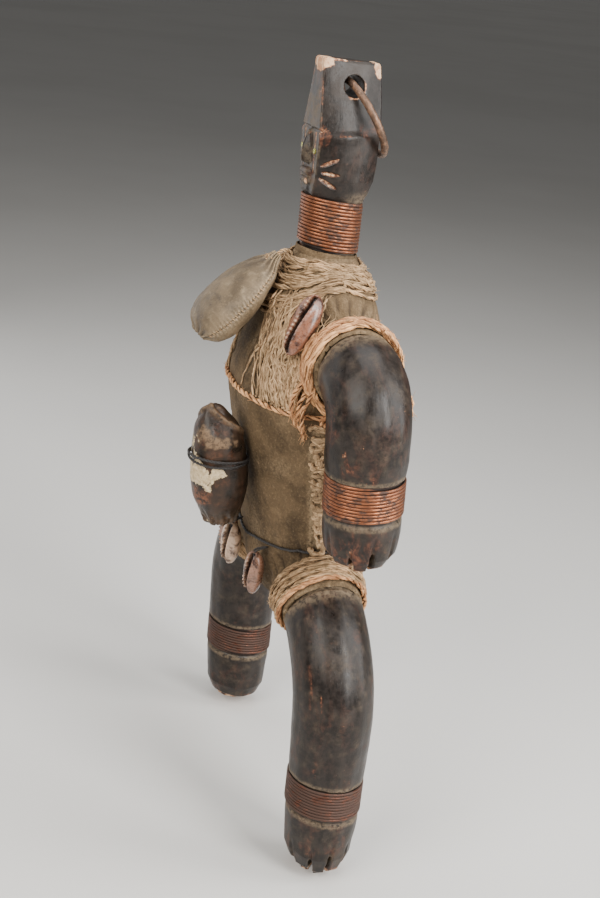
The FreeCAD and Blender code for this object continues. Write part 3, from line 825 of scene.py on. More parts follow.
def make_hide():
    """The stuffed hide: torso and four sleeves in one skin, gathered where it is lashed."""
    angle = np.linspace(0, 360, 180, endpoint=False)
    rings = [torso_at(angle, np.full(180, z)) for z in np.linspace(106.5, 269, 110)]
    parts = [rings_to_part(rings)]
    for root, direction, _ in ROOTS:
        path = [root - direction * s for s in np.linspace(0.4, 24, 10)]
        parts.append(tube(path, SLEEVE_R, 96))
    obj = build("hide_body_skin", join(parts), HIDE)
    remesh(obj, 0.8, 5)
    p, n = points_of(obj), normals_of(obj)
    out = 0.55 * noise(p, 17, 3, 2) + 0.28 * noise(p, 5.5, 8, 2)
    # painted shade: the hide is darkened in the hollows of its pleats, along its sharp folds and down its
    # bottom seam
    crease_shade = np.zeros(len(p))
    for k, (root, direction, outer) in enumerate(ROOTS):
        side = np.cross(direction, outer)
        d = p - root
        axial = -(d @ direction)
        a, b = d @ outer, d @ side
        radial = np.hypot(a, b)
        theta = np.arctan2(b, a)
        pleat = np.sin(theta * 21 + 3.0 * noise(p, 9, 20 + k)) \
            + 0.6 * np.sin(theta * 34 + 4 * noise(p, 7, 40 + k))
        near = ramp01(radial, 34, 19) * ramp01(axial, 4, 9) * ramp01(axial, 30, 20)
        out += 0.34 * pleat * near
        crease_shade = np.maximum(crease_shade, near * ramp01(-pleat, 0.5, 1.4))
    long_way = p * np.array([1.0, 1.0, 0.35])
    fold = 1 - np.abs(noise(long_way, 8.5, 60, 2))
    sharp = ramp01(fold, 0.93, 1.0) * ramp01(noise(p, 22, 61), -0.1, 0.5)
    out -= 0.40 * sharp
    crease_shade = np.maximum(crease_shade, 0.7 * sharp)
    mat = ramp01(noise(p, 3.0, 70, 3), -0.3, 0.8) * bump01(p[:, 2], 230, 26) * ramp01(-p[:, 1], 12, 20) \
        * ramp01(np.abs(p[:, 0]), 6, 14)
    yoke = bump01(p[:, 2], 259.5, 7.5) * (0.75 + 0.25 * noise(p, 2.6, 71, 2))
    out += 0.8 * mat + 0.9 * yoke
    seam = ramp01(np.abs(p[:, 1] + 11 - (202 - p[:, 2]) * 0.115), 5.0, 1.0) * ramp01(p[:, 2], 142, 150) \
        * ramp01(p[:, 2], 208, 202) * ramp01(np.abs(p[:, 0]), 34, 40)
    out += seam * (0.5 + 0.8 * noise(p, 3.2, 74, 2))
    neck = ramp01(p[:, 2], 255, 266)
    out -= 0.5 * neck * ramp01(noise(p * np.array([1, 1, 0.4]), 3.5, 80), 0.0, 0.6)
    bottom = ramp01(p[:, 2], 124, 108)
    stitch = bottom * ramp01(np.abs(p[:, 1]), 2.2, 0.4)
    out -= 0.8 * stitch
    crease_shade = np.maximum(crease_shade, stitch)
    p = p + n * out[:, None]
    opened = np.zeros(len(p), bool)
    for root, direction, _ in ROOTS:
        p, mouth = clear_mouth(p, root - direction * MOUTH_BACK, direction, LIMB_SEAT_R)
        opened |= mouth
    p, mouth = clear_mouth(p, np.array([0, 0, 268.6]), np.array([0, 0, 1.0]), NECK_SEAT_R)
    opened |= mouth
    move_points(obj, p)
    # painted shade in the pleats, folds and bottom seam, for the material to read
    paint(obj, "crease_shade", np.clip(crease_shade, 0, 1))
    rubbed = 1.6 * edge_wear(obj, 4) + 0.5 * mat + 0.6 * seam + 0.25 * noise(p, 12, 90)
    paint(obj, "rubbed", np.clip(rubbed, 0, 1))
    open_skin(obj, opened)
    return dress(obj, "torso", "hide_body")


class Skin:
    """Lays points on an object's surface."""

    def __init__(self, obj):
        faces = [list(face.vertices) for face in obj.data.polygons]
        self.tree = BVHTree.FromPolygons(points_of(obj).tolist(), faces)

    def lay(self, points, lift):
        laid = []
        for point, up in zip(points, np.broadcast_to(lift, (len(points),))):
            spot, normal, _, _ = self.tree.find_nearest(Vector(point))
            laid.append(np.array(spot) + np.array(normal) * up)
        return np.array(laid)


def hoop(skin, z_of, lift, count=260, low=0.0, high=360.0):
    """A path round the torso; z_of gives its height at each angle in degrees."""
    angle = np.linspace(low, high, count, endpoint=high - low < 359)
    return skin.lay(torso_at(angle, z_of(angle)), lift)


# ---- cords on the body --------------------------------------------------
def make_collar():
    """Dusty edge of the hide, drawn up round the neck under the lowest wire."""
    outside = [(258.0, 15.6), (262.0, 15.2), (265.0, 14.2), (267.5, 13.6), (269.4, 13.3), (270.2, 13.1)]
    inside = [(269.9, 12.85), (262.0, 12.8)]
    a = circle(160)
    ring = np.column_stack([np.cos(a), np.sin(a), 0 * a])
    rings = []
    for z, radius in outside + inside:
        lumps = noise(ring * 13 + (0, 0, z), 4.0, 97, 3) * (0.5 if (z, radius) in outside else 0)
        height = z - 0.10 * radius * np.sin(a) + 0.5 * lumps
        rings.append(ring * (radius + lumps)[:, None] + np.outer(height, [0, 0, 1]))
    return np.array(rings).reshape(-1, 3), grid_faces(len(rings), len(a), wrap_rows=True)


def make_neck_cords(skin):
    """Loose strands wound round the base of the neck, lower at the front and back than over the shoulders."""
    rng = np.random.default_rng(99)
    parts = []
    angle = np.linspace(0, 360, 260, endpoint=False)
    for k in range(NECK_STRANDS):
        z = 266.4 - 0.52 * k + rng.uniform(-0.4, 0.4)
        dip = 2.0 + 0.85 * k + rng.uniform(-1.2, 1.2)
        radius = rng.uniform(0.55, 1.0)
        lean, phase = rng.uniform(0.6, 1.8), rng.uniform(-70, 20)

        def height(a, z=z, dip=dip, lean=lean, phase=phase, k=k):
            turn = np.sin(np.radians(a))
            wander = noise(np.stack([a * 0.10, 0 * a + 9 * k, 0 * a], 1), 4.0, 100 + k, 2)
            return z - dip * np.clip(turn, 0, 1) ** 2.2 - 0.35 * dip * np.clip(-turn, 0, 1) ** 2 \
                + lean * np.sin(np.radians(a + phase)) + 0.9 * wander
        over = 1.9 * np.clip(np.sin(np.radians(angle)), 0, 1) ** 12 if k < 3 else 0
        along = np.stack([angle * 0.1, angle * 0 + k, angle * 0], 1)
        rise = radius * rng.uniform(0.8, 1.7) + 0.4 * noise(along, 4.0, 105 + k)
        path = hoop(skin, height, rise + over)
        parts.append(twisted(path, radius, rng.uniform(12, 26), 3, 6, seed=110 + k, closed=True, uneven=0.45))
        parts.append(stray_fibres(path, radius, 30, 3.2, 140 + k))
    dress(build("hide_collar", make_collar(), HIDE), "torso", "neck_cords")
    piece("neck_cord_turns", parts, DUSTY_CORD, "torso", "neck_cords")


def make_chest_cord(skin):
    """The cord under the arms that ties the mat down."""
    def height(a):
        front = np.clip(np.sin(np.radians(a)), 0, 1)
        return 207.6 + 1.6 * front ** 2 + 0.5 * noise(np.stack([a * 0.1, 0 * a, 0 * a], 1), 5.0, 140, 2)

    path = hoop(skin, height, 0.95)
    parts = [twisted(path, 1.15, 9.0, seed=141, closed=True, uneven=0.32),
             stray_fibres(path, 1.1, 110, 3.2, 142)]
    for side in (1, -1):
        start = np.array([47.5 * side, -9.0, 207.0])
        knot = start + np.array([[0, 2.6, 0.6], [0.8, 0.6, 2.0], [1.0, -2.2, 0.4], [0.6, -0.4, -1.8],
                                 [0.9, 2.0, 0.2], [0.2, 4.0, -2.6], [0, 5.0, -6.0]]) * (side, 1, 1)
        parts.append(twisted(spline(knot, 40), 1.15, 4.5, seed=145, uneven=0.2))
    piece("chest_cord_turn", parts, CORD, "torso", "chest_cord")


def winding(root, direction, first, pitch, turns, radius, start, uneven, seed):
    """A cord wound round a sleeve, from near its end back towards the body."""
    return helix(root - direction * first, -direction, radius, pitch, turns, 110, start, uneven, seed)


def wound(k, turn, seed, fibre_seed, fibres, reach, thin=1.0, longer=1.0):
    """One bundle of turns round limb root k, and the loose fibres on it."""
    root, direction, _ = ROOTS[k]
    first, pitch, count, off, start, uneven, radius, lay = turn
    path = winding(root, direction, first, pitch, count, SLEEVE_R + off, start, uneven, seed)
    return [twisted(path, radius * thin, lay * longer, 3, 6, seed=seed + 1, uneven=0.50),
            stray_fibres(path, radius, fibres, reach, fibre_seed)]


# a bundle of turns: first, pitch, count, height off the sleeve, start, uneven, cord radius, lay
SHOULDER_TURNS = [(1.9, 3.1, 2.6, 1.3, 200, 0.9, 1.35, 24.0), (2.8, 4.4, 1.5, 3.0, 130, 0.9, 1.15, 19.0),
                  (1.4, 1.9, 1.4, 2.2, 30, 0.7, 0.9, 14.0), (5.0, 2.4, 1.3, 2.9, 300, 1.0, 1.0, 22.0),
                  (3.6, 1.6, 2.2, 2.0, 80, 1.2, 0.7, 16.0)]
HIP_TURNS = [(4.2, 1.95, 6.0, 1.2, 130, 0.7, 1.15, 9.0), (3.4, 3.1, 3.2, 2.5, 250, 0.8, 0.95, 8.0),
             (8.5, 5.2, 1.4, 3.2, 30, 0.7, 0.9, 7.0)]
SHOULDER_TAILS = [((50.2, -16.5, 221), (50.6, -20.0, 214), (49.6, -20.0, 206), (48.4, -17.2, 199)),
                  ((47.6, -18.5, 221), (47.6, -21.6, 214), (47.0, -21.0, 207)),
                  ((45.0, -20.0, 224), (44.8, -23.6, 216), (46.0, -22.6, 208), (47.2, -19.0, 203)),
                  ((51.6, 17.5, 219), (53.5, 22.0, 222), (56.5, 24.6, 219), (57.2, 25.2, 212)),
                  ((50.6, 19.5, 222), (52.6, 23.4, 217), (54.2, 24.2, 209))]


def make_shoulder_lashing(k, side_name):
    """Bundles of cord round the end of a sleeve, with their loose tails."""
    parts = []
    for j, turn in enumerate(SHOULDER_TURNS):
        seed = 150 + 10 * j + k
        parts += wound(k, turn, seed, seed + 5, 60, 3.6)
    for j, points in enumerate(SHOULDER_TAILS):
        path = spline(np.array(points) * (RIGHT_FLIP if k else 1), 40)
        path = path + 0.5 * np.stack([noise(path, 4, 168 + j + 9 * i) for i in range(3)], 1)
        parts.append(twisted(path, 1.0, 7.0, seed=170 + j, uneven=0.35))
        parts.append(stray_fibres(path[-18:], 0.9, 26, 4.8, 180 + j))
    piece(side_name + "_shoulder_cord", parts, CORD, "torso", side_name + "_shoulder_lashing")


def make_hip_lashing(k, side_name):
    """One clean outer turn, and dusty bundles of cord behind it."""
    root, direction, _ = ROOTS[k]
    outer_turn = winding(root, direction, 1.8, 2.6, 1.2, SLEEVE_R + 1.5, 80, 0.3, 190 + k)
    clean = [twisted(outer_turn, 1.4, 20.0, 3, 6, seed=191 + k, uneven=0.45),
             stray_fibres(outer_turn, 1.4, 24, 2.6, 192 + k)]
    dusty = []
    for j, turn in enumerate(HIP_TURNS):
        seed = 193 + 10 * j + k
        dusty += wound(k, turn, seed, seed + 2, 110, 2.8, 0.9, 2)
    piece(side_name + "_hip_cord_end", clean, CORD, "torso", side_name + "_hip_lashing")
    piece(side_name + "_hip_cord", dusty, DUSTY_CORD, "torso", side_name + "_hip_lashing")


def torso_front(x, z):
    """Points near the front of the torso at (x, z)."""
    half_x, half_y, centre = (through(z, TORSO, i) for i in (1, 2, 3))
    return np.stack([x, centre - half_y * np.sqrt(np.clip(1 - (x / half_x) ** 2, 0.03, 1)), z], 1)


def make_chest_mat(skin, side_name, flip):
    """Matted strands from the neck down to the cord under the arm."""
    rng = np.random.default_rng(200 if flip > 0 else 201)
    parts = []
    t = np.linspace(0, 1, 18)
    for j in range(MAT_STRANDS):
        bundled = j % 4 == 0
        start_z = rng.uniform(212, 257)
        down = (257 - start_z) / 46
        x = 27 + 15 * down + rng.normal(0, 1.6) if bundled else 18 + 19 * down + rng.normal(0, 6.5)
        long = rng.uniform(6, 24)
        slope = rng.normal(0.35, 0.24)
        z = np.maximum(start_z - long * t, 208.5 + rng.uniform(0, 2.5))
        curl = noise(np.stack([t * 9, 0 * t + j, 0 * t + start_z], 1), 2.2, 210, 2)
        x = np.clip(x + slope * (start_z - z) + 0.8 * curl, 7, 41)
        rough = torso_front(x, z) * np.array([flip, 1, 1])
        rise = rng.uniform(0.1, 1.6)
        path = skin.lay(rough, rise * np.sin(np.pi * np.clip(t, 0.05, 0.95)) ** 0.6)
        tapered = 0.3 + 0.7 * np.sin(np.pi * np.clip(t, 0.02, 0.98)) ** 0.4
        thick = rng.uniform(0.13, 0.46) ** (0.75 if bundled else 1.0) * tapered
        strand = tube(path, thick * (1 + 0.35 * noise(path, 1.5, 220, 2)), 6)
        # painted shade: strands lying low on the hide are darker
        parts.append(with_painted_shade_and_tone(strand, 0.80 * (1 - rise / 1.6)))
    piece(side_name + "_chest_fibres", parts, MAT, "torso", side_name + "_chest_mat")


def make_side_seam(skin, side_name, flip):
    """Crusted, worn lacing that closes the hide down the side."""
    rng = np.random.default_rng(230 if flip > 0 else 231)
    parts = []
    for j in range(SEAM_STITCHES):
        z = 147 + 57 * (j + rng.uniform(-0.4, 0.4)) / SEAM_STITCHES
        y = -11 + (202 - z) * 0.115 + rng.normal(0, 0.8)
        reach, lift = rng.uniform(1.2, 3.9), rng.uniform(-1.5, 3.4)
        x = 46 * flip
        points = [(x, y - reach, z), (x, y - reach * 0.4, z - lift), (x, y + reach * 0.6, z - lift * 0.8),
                  (x, y + reach, z + lift * 0.4)]
        if rng.uniform() < 0.55:
            points.append((x, y + 0.2, z + lift * 0.9 + 1.2))
        path = skin.lay(spline(points, 30), rng.uniform(0.2, 0.6) + 0.6 * np.sin(np.linspace(0, math.pi, 30)))
        path = path + 0.25 * np.stack([noise(path, 2, 238 + i) for i in range(3)], 1)
        thick = rng.uniform(0.55, 1.25) * (1 + 0.4 * noise(path, 1.6, 240, 2))
        parts.append(with_painted_shade_and_tone(tube(path, thick, 7), rng.uniform(0, 0.45)))
        parts.append(stray_fibres(path, 0.9, 4, 2.2, 260 + j))
    piece(side_name + "_side_lacing", parts, MAT, "torso", side_name + "_side_seam")


def make_hip_string(skin):
    """Thin string round the hips that dips to the cowries at the front."""
    def height(a):
        front = np.clip(np.sin(np.radians(a)), 0, 1)
        sag = 3.2 * front ** 3 * (1 + np.cos(np.radians(6 * (a - 90)))) / 2
        return 144.0 - 4.6 * front ** 2 - sag * 0.6
    path = hoop(skin, height, 0.8)
    parts = [twisted(path, 0.75, 3.0, seed=250, closed=True)]
    for x, y, z in ((0, -31.4, 140.8), (23, -26.4, 136.5), (-23, -26.4, 136.5)):
        top = skin.lay([(x, y + 8, z + 3)], 0.9)[0]
        thong = [top, (x - 0.9, y + 0.4, z + 0.6), (x, y - 0.4, z - 2.2), (x + 0.9, y + 0.4, z + 0.6)]
        parts.append(tube(spline(thong, 30, closed=True), 0.42, 6, closed=True))
    piece("hip_string_turn", parts, DARK_CORD, "torso", "hip_string")


# ---- head ---------------------------------------------------------------
def head_ring_points(z, front, back, front_half, side_half, back_half, tilt=0.0, bow=0.0):
    """One eight-sided section of the head, twelve points to a side.

    tilt raises its back, and bow rounds its sides.
    """
    middle = (front + back) / 2
    right = [(front_half, front), (side_half, middle - 3), (side_half, middle + 4), (back_half, back)]
    corners = np.array(right + [(-x, y) for x, y in reversed(right)])
    steps = np.linspace(0, 1, 12, endpoint=False)[:, None]
    flat = np.vstack([a + (b - a) * steps for a, b in zip(corners, np.roll(corners, -1, 0))])
    part = np.clip((flat[:, 1] - front) / (back - front), 0, 1)
    mean = front_half + (back_half - front_half) * part
    arc = mean + 4 * part * (1 - part) * (side_half - (front_half + back_half) / 2)
    on_side = (part > 0.01) & (part < 0.99)
    flat[:, 0] = np.where(on_side, flat[:, 0] * (1 - bow) + np.sign(flat[:, 0]) * arc * bow, flat[:, 0])
    return np.column_stack([flat, z + tilt * flat[:, 1]])


def capsule(a, b, radius, flatten=1.0):
    """A rounded bar between two points."""
    a, b = np.asarray(a, float), np.asarray(b, float)
    t = np.linspace(-1, 1, 15)
    path = (a + b) / 2 + np.outer(t, (b - a) / 2 + unit(b - a) * radius)
    half = np.linalg.norm(b - a) / 2
    end = np.clip((np.abs(t) * (half + radius) - half) / radius, 0, 0.999)
    verts, faces, _ = tube(path, radius * np.sqrt(1 - end ** 2) + 0.02, 16)
    middle = (a + b) / 2
    verts[:, 2] = middle[2] + (verts[:, 2] - middle[2]) * flatten
    return verts, faces


def near_line(p, a, b):
    """Distance from each point to a line piece, and how far along it the nearest spot is."""
    a, b = np.asarray(a, float), np.asarray(b, float)
    t = np.clip((p - a) @ (b - a) / np.dot(b - a, b - a), 0, 1)
    return np.linalg.norm(p - (a + t[:, None] * (b - a)), axis=1), t


def make_head():
    """Crested head with its neck: flat cut facets, small face, incised scars."""
    sections = [
        (292.6, -12.0, 11.4, 7.2, 12.2, 6.5, -NECK_TILT, 0.6),
        (294.5, -12.3, 12.4, 8.4, 12.9, 6.8, -NECK_TILT, 0.6),
        (301.0, -12.4, 15.0, 10.8, 14.3, 7.5, 0, 0.6), (309.0, -12.6, 15.3, 12.0, 15.0, 8.3, 0, 0.7),
        (320.0, -12.8, 15.3, 12.6, 15.3, 9.2, 0.08, 0.9), (322.2, -12.7, 15.2, 11.7, 13.6, 9.2, 0.08, 1),
        (336.0, -12.3, 14.4, 8.6, 9.7, 7.4, 0.03, 1), (349.3, -12.0, 13.3, 5.6, 6.4, 5.2, -0.03, 1),
        (350.0, -11.4, 12.8, 5.0, 5.8, 4.6, -0.03, 1),
    ]
    rings = [head_ring_points(*row) for row in sections]
    parts = [rings_to_part(rings)]
    neck_path = [(0, 0, z) for z in np.linspace(NECK_START_Z, 296, 24)]
    parts.append(tube(neck_path, NECK_R, 90))
    nose = []
    for z, half, rise in ((306.6, 3.6, 2.4), (307.6, 4.2, 3.4), (309.5, 3.9, 3.5), (313, 3.3, 3.3),
                          (317, 2.6, 2.4), (321.4, 1.9, 1.0)):
        flank = ((-1.0, 1.0), (-0.8, 0.0), (-0.25, -0.92 * rise), (0, -rise), (0.25, -0.92 * rise),
                 (0.8, 0.0), (1.0, 1.0))
        nose.append(spline([(half * x, y - 12.6, z) for x, y in flank], 28))
    parts.append(rings_to_part(nose))
    parts.append(capsule((-4.0, -12.7, 303.3), (4.0, -12.7, 303.3), 2.0, 0.85))
    parts.append(capsule((-3.4, -12.5, 299.5), (3.4, -12.5, 299.5), 1.9, 0.8))
    parts.append(capsule((-2.6, -11.5, 296.2), (2.6, -11.5, 296.2), 1.7))
    obj = build("carved_head", join(parts), WOOD)
    bore = []
    a = circle(40)
    for x in np.linspace(-18, 18, 25):
        r = HOLE_R + 0.25 * ramp01(abs(x), 5.5, 9.5)
        bore.append(np.column_stack([0 * a + x, HOLE[1] + r * np.cos(a), HOLE[2] + r * np.sin(a)]))
    remesh(obj, 0.5, 0)
    cut(obj, rings_to_part(bore))
    remesh(obj, 0.38, 3)
    p, n = points_of(obj), normals_of(obj)
    out = 0.20 * noise(p, 8.5, 300, 2) + 0.02 * noise(p * np.array([1, 1, 0.25]), 1.6, 301, 2)
    groove_wear = np.zeros(len(p))
    side = np.column_stack([np.abs(p[:, 0]), p[:, 1:]])
    scars = [((12.7, -11.3, 306.9), (14.7, -3.4, 310.9)), ((12.6, -11.0, 304.4), (14.4, -2.2, 303.7)),
             ((11.8, -11.0, 302.0), (13.6, -3.0, 297.6))]
    for a, b in scars:
        away, t = near_line(side, a, b)
        leaf = 1.30 * np.sqrt(np.clip(1 - (2 * t - 0.95) ** 2, 0.02, 1))
        inside = ramp01(away / leaf, 1.0, 0.3)
        out -= 0.72 * inside
        groove_wear = np.maximum(groove_wear, 0.60 * ramp01(away / leaf, 1.2, 0.4))
    away, t = near_line(side, (7.6, -12.9, 320.0), (7.0, -12.7, 304.0))
    out -= 0.25 * ramp01(away, 0.9, 0.2)
    groove_wear = np.maximum(groove_wear, 0.66 * ramp01(away, 0.95, 0.3))
    step = ramp01(np.abs(p[:, 2] - 321.2), 0.9, 0.15) * ramp01(-p[:, 1], 10.8, 11.6)
    out -= 0.7 * step
    mouth = ramp01(np.abs(p[:, 2] - 301.3), 0.55, 0.1) * ramp01(-p[:, 1], 12.6, 13.4)
    out -= 0.5 * mouth
    lip_chip = ramp01(np.hypot(p[:, 0] - 3.4, p[:, 2] - 299.4), 1.7, 0.8) * ramp01(-p[:, 1], 12.4, 13)
    groove_wear = np.maximum(groove_wear, 0.7 * lip_chip)
    shadow_box = ramp01(np.abs(p[:, 2] - 293.4), 1.4, 0.2) * ramp01(p[:, 1], 0, 8)
    out -= 0.35 * shadow_box
    p = p + n * out[:, None]
    move_points(obj, p)
    wear = np.clip(edge_wear(obj, 3) * 0.8 - 0.14, 0, 0.5)
    rough = noise(p, 3.4, 310, 3)
    crest = ramp01(p[:, 2], 320, 323)

    def reach(points, centre, weights):
        return np.linalg.norm((points - centre) * weights, axis=1)

    front_corner = ramp01(reach(p, (2.5, -11.6, 349.4), (0.5, 1.1, 1.2)) + 1.2 * rough, 5.8, 4.4)
    back_corner = ramp01(reach(p, (3.0, 13.0, 348.0), (0.5, 1.3, 0.7)) + 0.9 * rough, 4.6, 3.0)
    off_y, off_z = p[:, 1] - HOLE[1], p[:, 2] - HOLE[2]
    far = np.hypot(off_y, off_z)
    lit_side = ramp01((off_y - off_z) / (far + 0.1), -0.3, 0.9)
    # painted highlight: a pale band round the bore's mouth on its lit lower side, carried in the wear value
    lit_rim_highlight = ramp01(np.abs(far - HOLE_R - 0.5) + 0.35 * rough, 1.1, 0.3) * lit_side * 0.85
    bore_wall = ramp01(far, HOLE_R + 0.5, HOLE_R + 0.15)
    front_edge = ramp01(np.abs(-p[:, 1] - 12.0) + 0.3 * rough, 0.9, 0.3) * crest \
        * ramp01(side[:, 0], 3.5, 4.6) * ramp01(rough, -0.5, 0.4) * 0.42
    knee = ramp01(reach(side, (11.8, -11.4, 320.6), (1, 0.7, 0.8)) + 0.9 * rough, 3.6, 1.2) * 0.44
    foot_line = ramp01(np.abs(p[:, 2] - 320.6 - 0.10 * p[:, 1]) + 0.8 * rough, 1.7, 0.4) \
        * ramp01(rough, -0.4, 0.3) * 0.42
    top_edge = ramp01(p[:, 2], 348.9, 349.6) * ramp01(side[:, 0], 4.0, 5.0) * ramp01(rough, -0.7, 0.2) * 0.66
    total = np.max([wear * 0.5, front_corner, back_corner, lit_rim_highlight, front_edge, knee, foot_line, top_edge,
                    groove_wear], axis=0)
    # the wear value: pale wear and chips on edges, scars and lip, and the painted highlight round the bore
    paint(obj, "wear", total * (1 - bore_wall))
    lower = ramp01(p[:, 2], 322, 316)
    border = ramp01(np.abs(p[:, 2] - 320.8 - 0.25 * p[:, 1]) + rough, 4.2, 0.6)
    red = 0.10 * lower + 0.8 * border + 0.4 * ramp01(-p[:, 1], 11, 12)
    paint(obj, "red", np.clip(red, 0, 1) * (1 - bore_wall))
    paint(obj, "dust", np.clip(0.9 * mouth + 0.75 * ramp01(p[:, 2], 298, 293.5) * ramp01(p[:, 1], -2, 8)
                               + 0.6 * ramp01(-p[:, 1], 11.6, 12.5) * ramp01(rough, -0.7, 0.4), 0, 1))
    paint(obj, "grain", p + np.array([0, 0, 40.0]))
    dress(obj, "head", "head")


def make_eye_beads():
    """Seed beads set in the face, hole outward."""
    parts = []
    for side in (1, -1):
        centre = np.array([8.5 * side, -12.95, 312.6])
        a = circle(20)
        path = centre + 0.62 * np.column_stack([np.cos(a), 0 * a, np.sin(a)])
        parts.append(tube(path, 0.55 + 0.05 * np.sin(a), 10, closed=True))
    piece("seed_bead_eyes", parts, BEAD, "head", "eye_beads")


def tilted(points, centre, amount):
    """Points raised in proportion to how far they lie to the front of a centre."""
    points = np.array(points, float)
    points[:, 2] -= amount * (points[:, 1] - centre[1])
    return points


def coil(name, body, node, material, centre, radius, turns, tilt, seed, turn_back=0.0, flip=1):
    """Wire wound close round a limb or the neck, its ends tucked under the next turn."""
    path = helix(np.array(centre, float), [0, 0, 1], radius, WIRE_PITCH, turns, 72, seed * 40.0, 0.07, seed)
    order = np.arange(len(path))
    ends = ramp01(np.minimum(order, order[::-1]), 0, 22)
    inward = (path - centre) * np.array([1, 1, 0])
    path = path - inward / radius * (1 - ends)[:, None] * 0.9
    part = tube(path, WIRE_R * (1 + 0.04 * noise(path, 2.0, seed + 3)), 10)
    # painted shade: the wire's inner side, in the gaps between turns and against the limb or neck, is marked
    # dark
    from_axis = np.linalg.norm((part[0] - centre)[:, :2], axis=1)
    verts, faces, fibre = with_painted_shade_and_tone(part, ramp01(from_axis, radius + WIRE_R * 0.55, radius + WIRE_R * 0.05))
    verts = tilted(verts, centre, tilt)
    if turn_back:
        verts = spin(verts, ARM_ROOT, (1, 0, 0), turn_back)
    part = (verts, faces, fibre)
    dress(build(name, part if flip > 0 else mirrored(part), material), body, node)


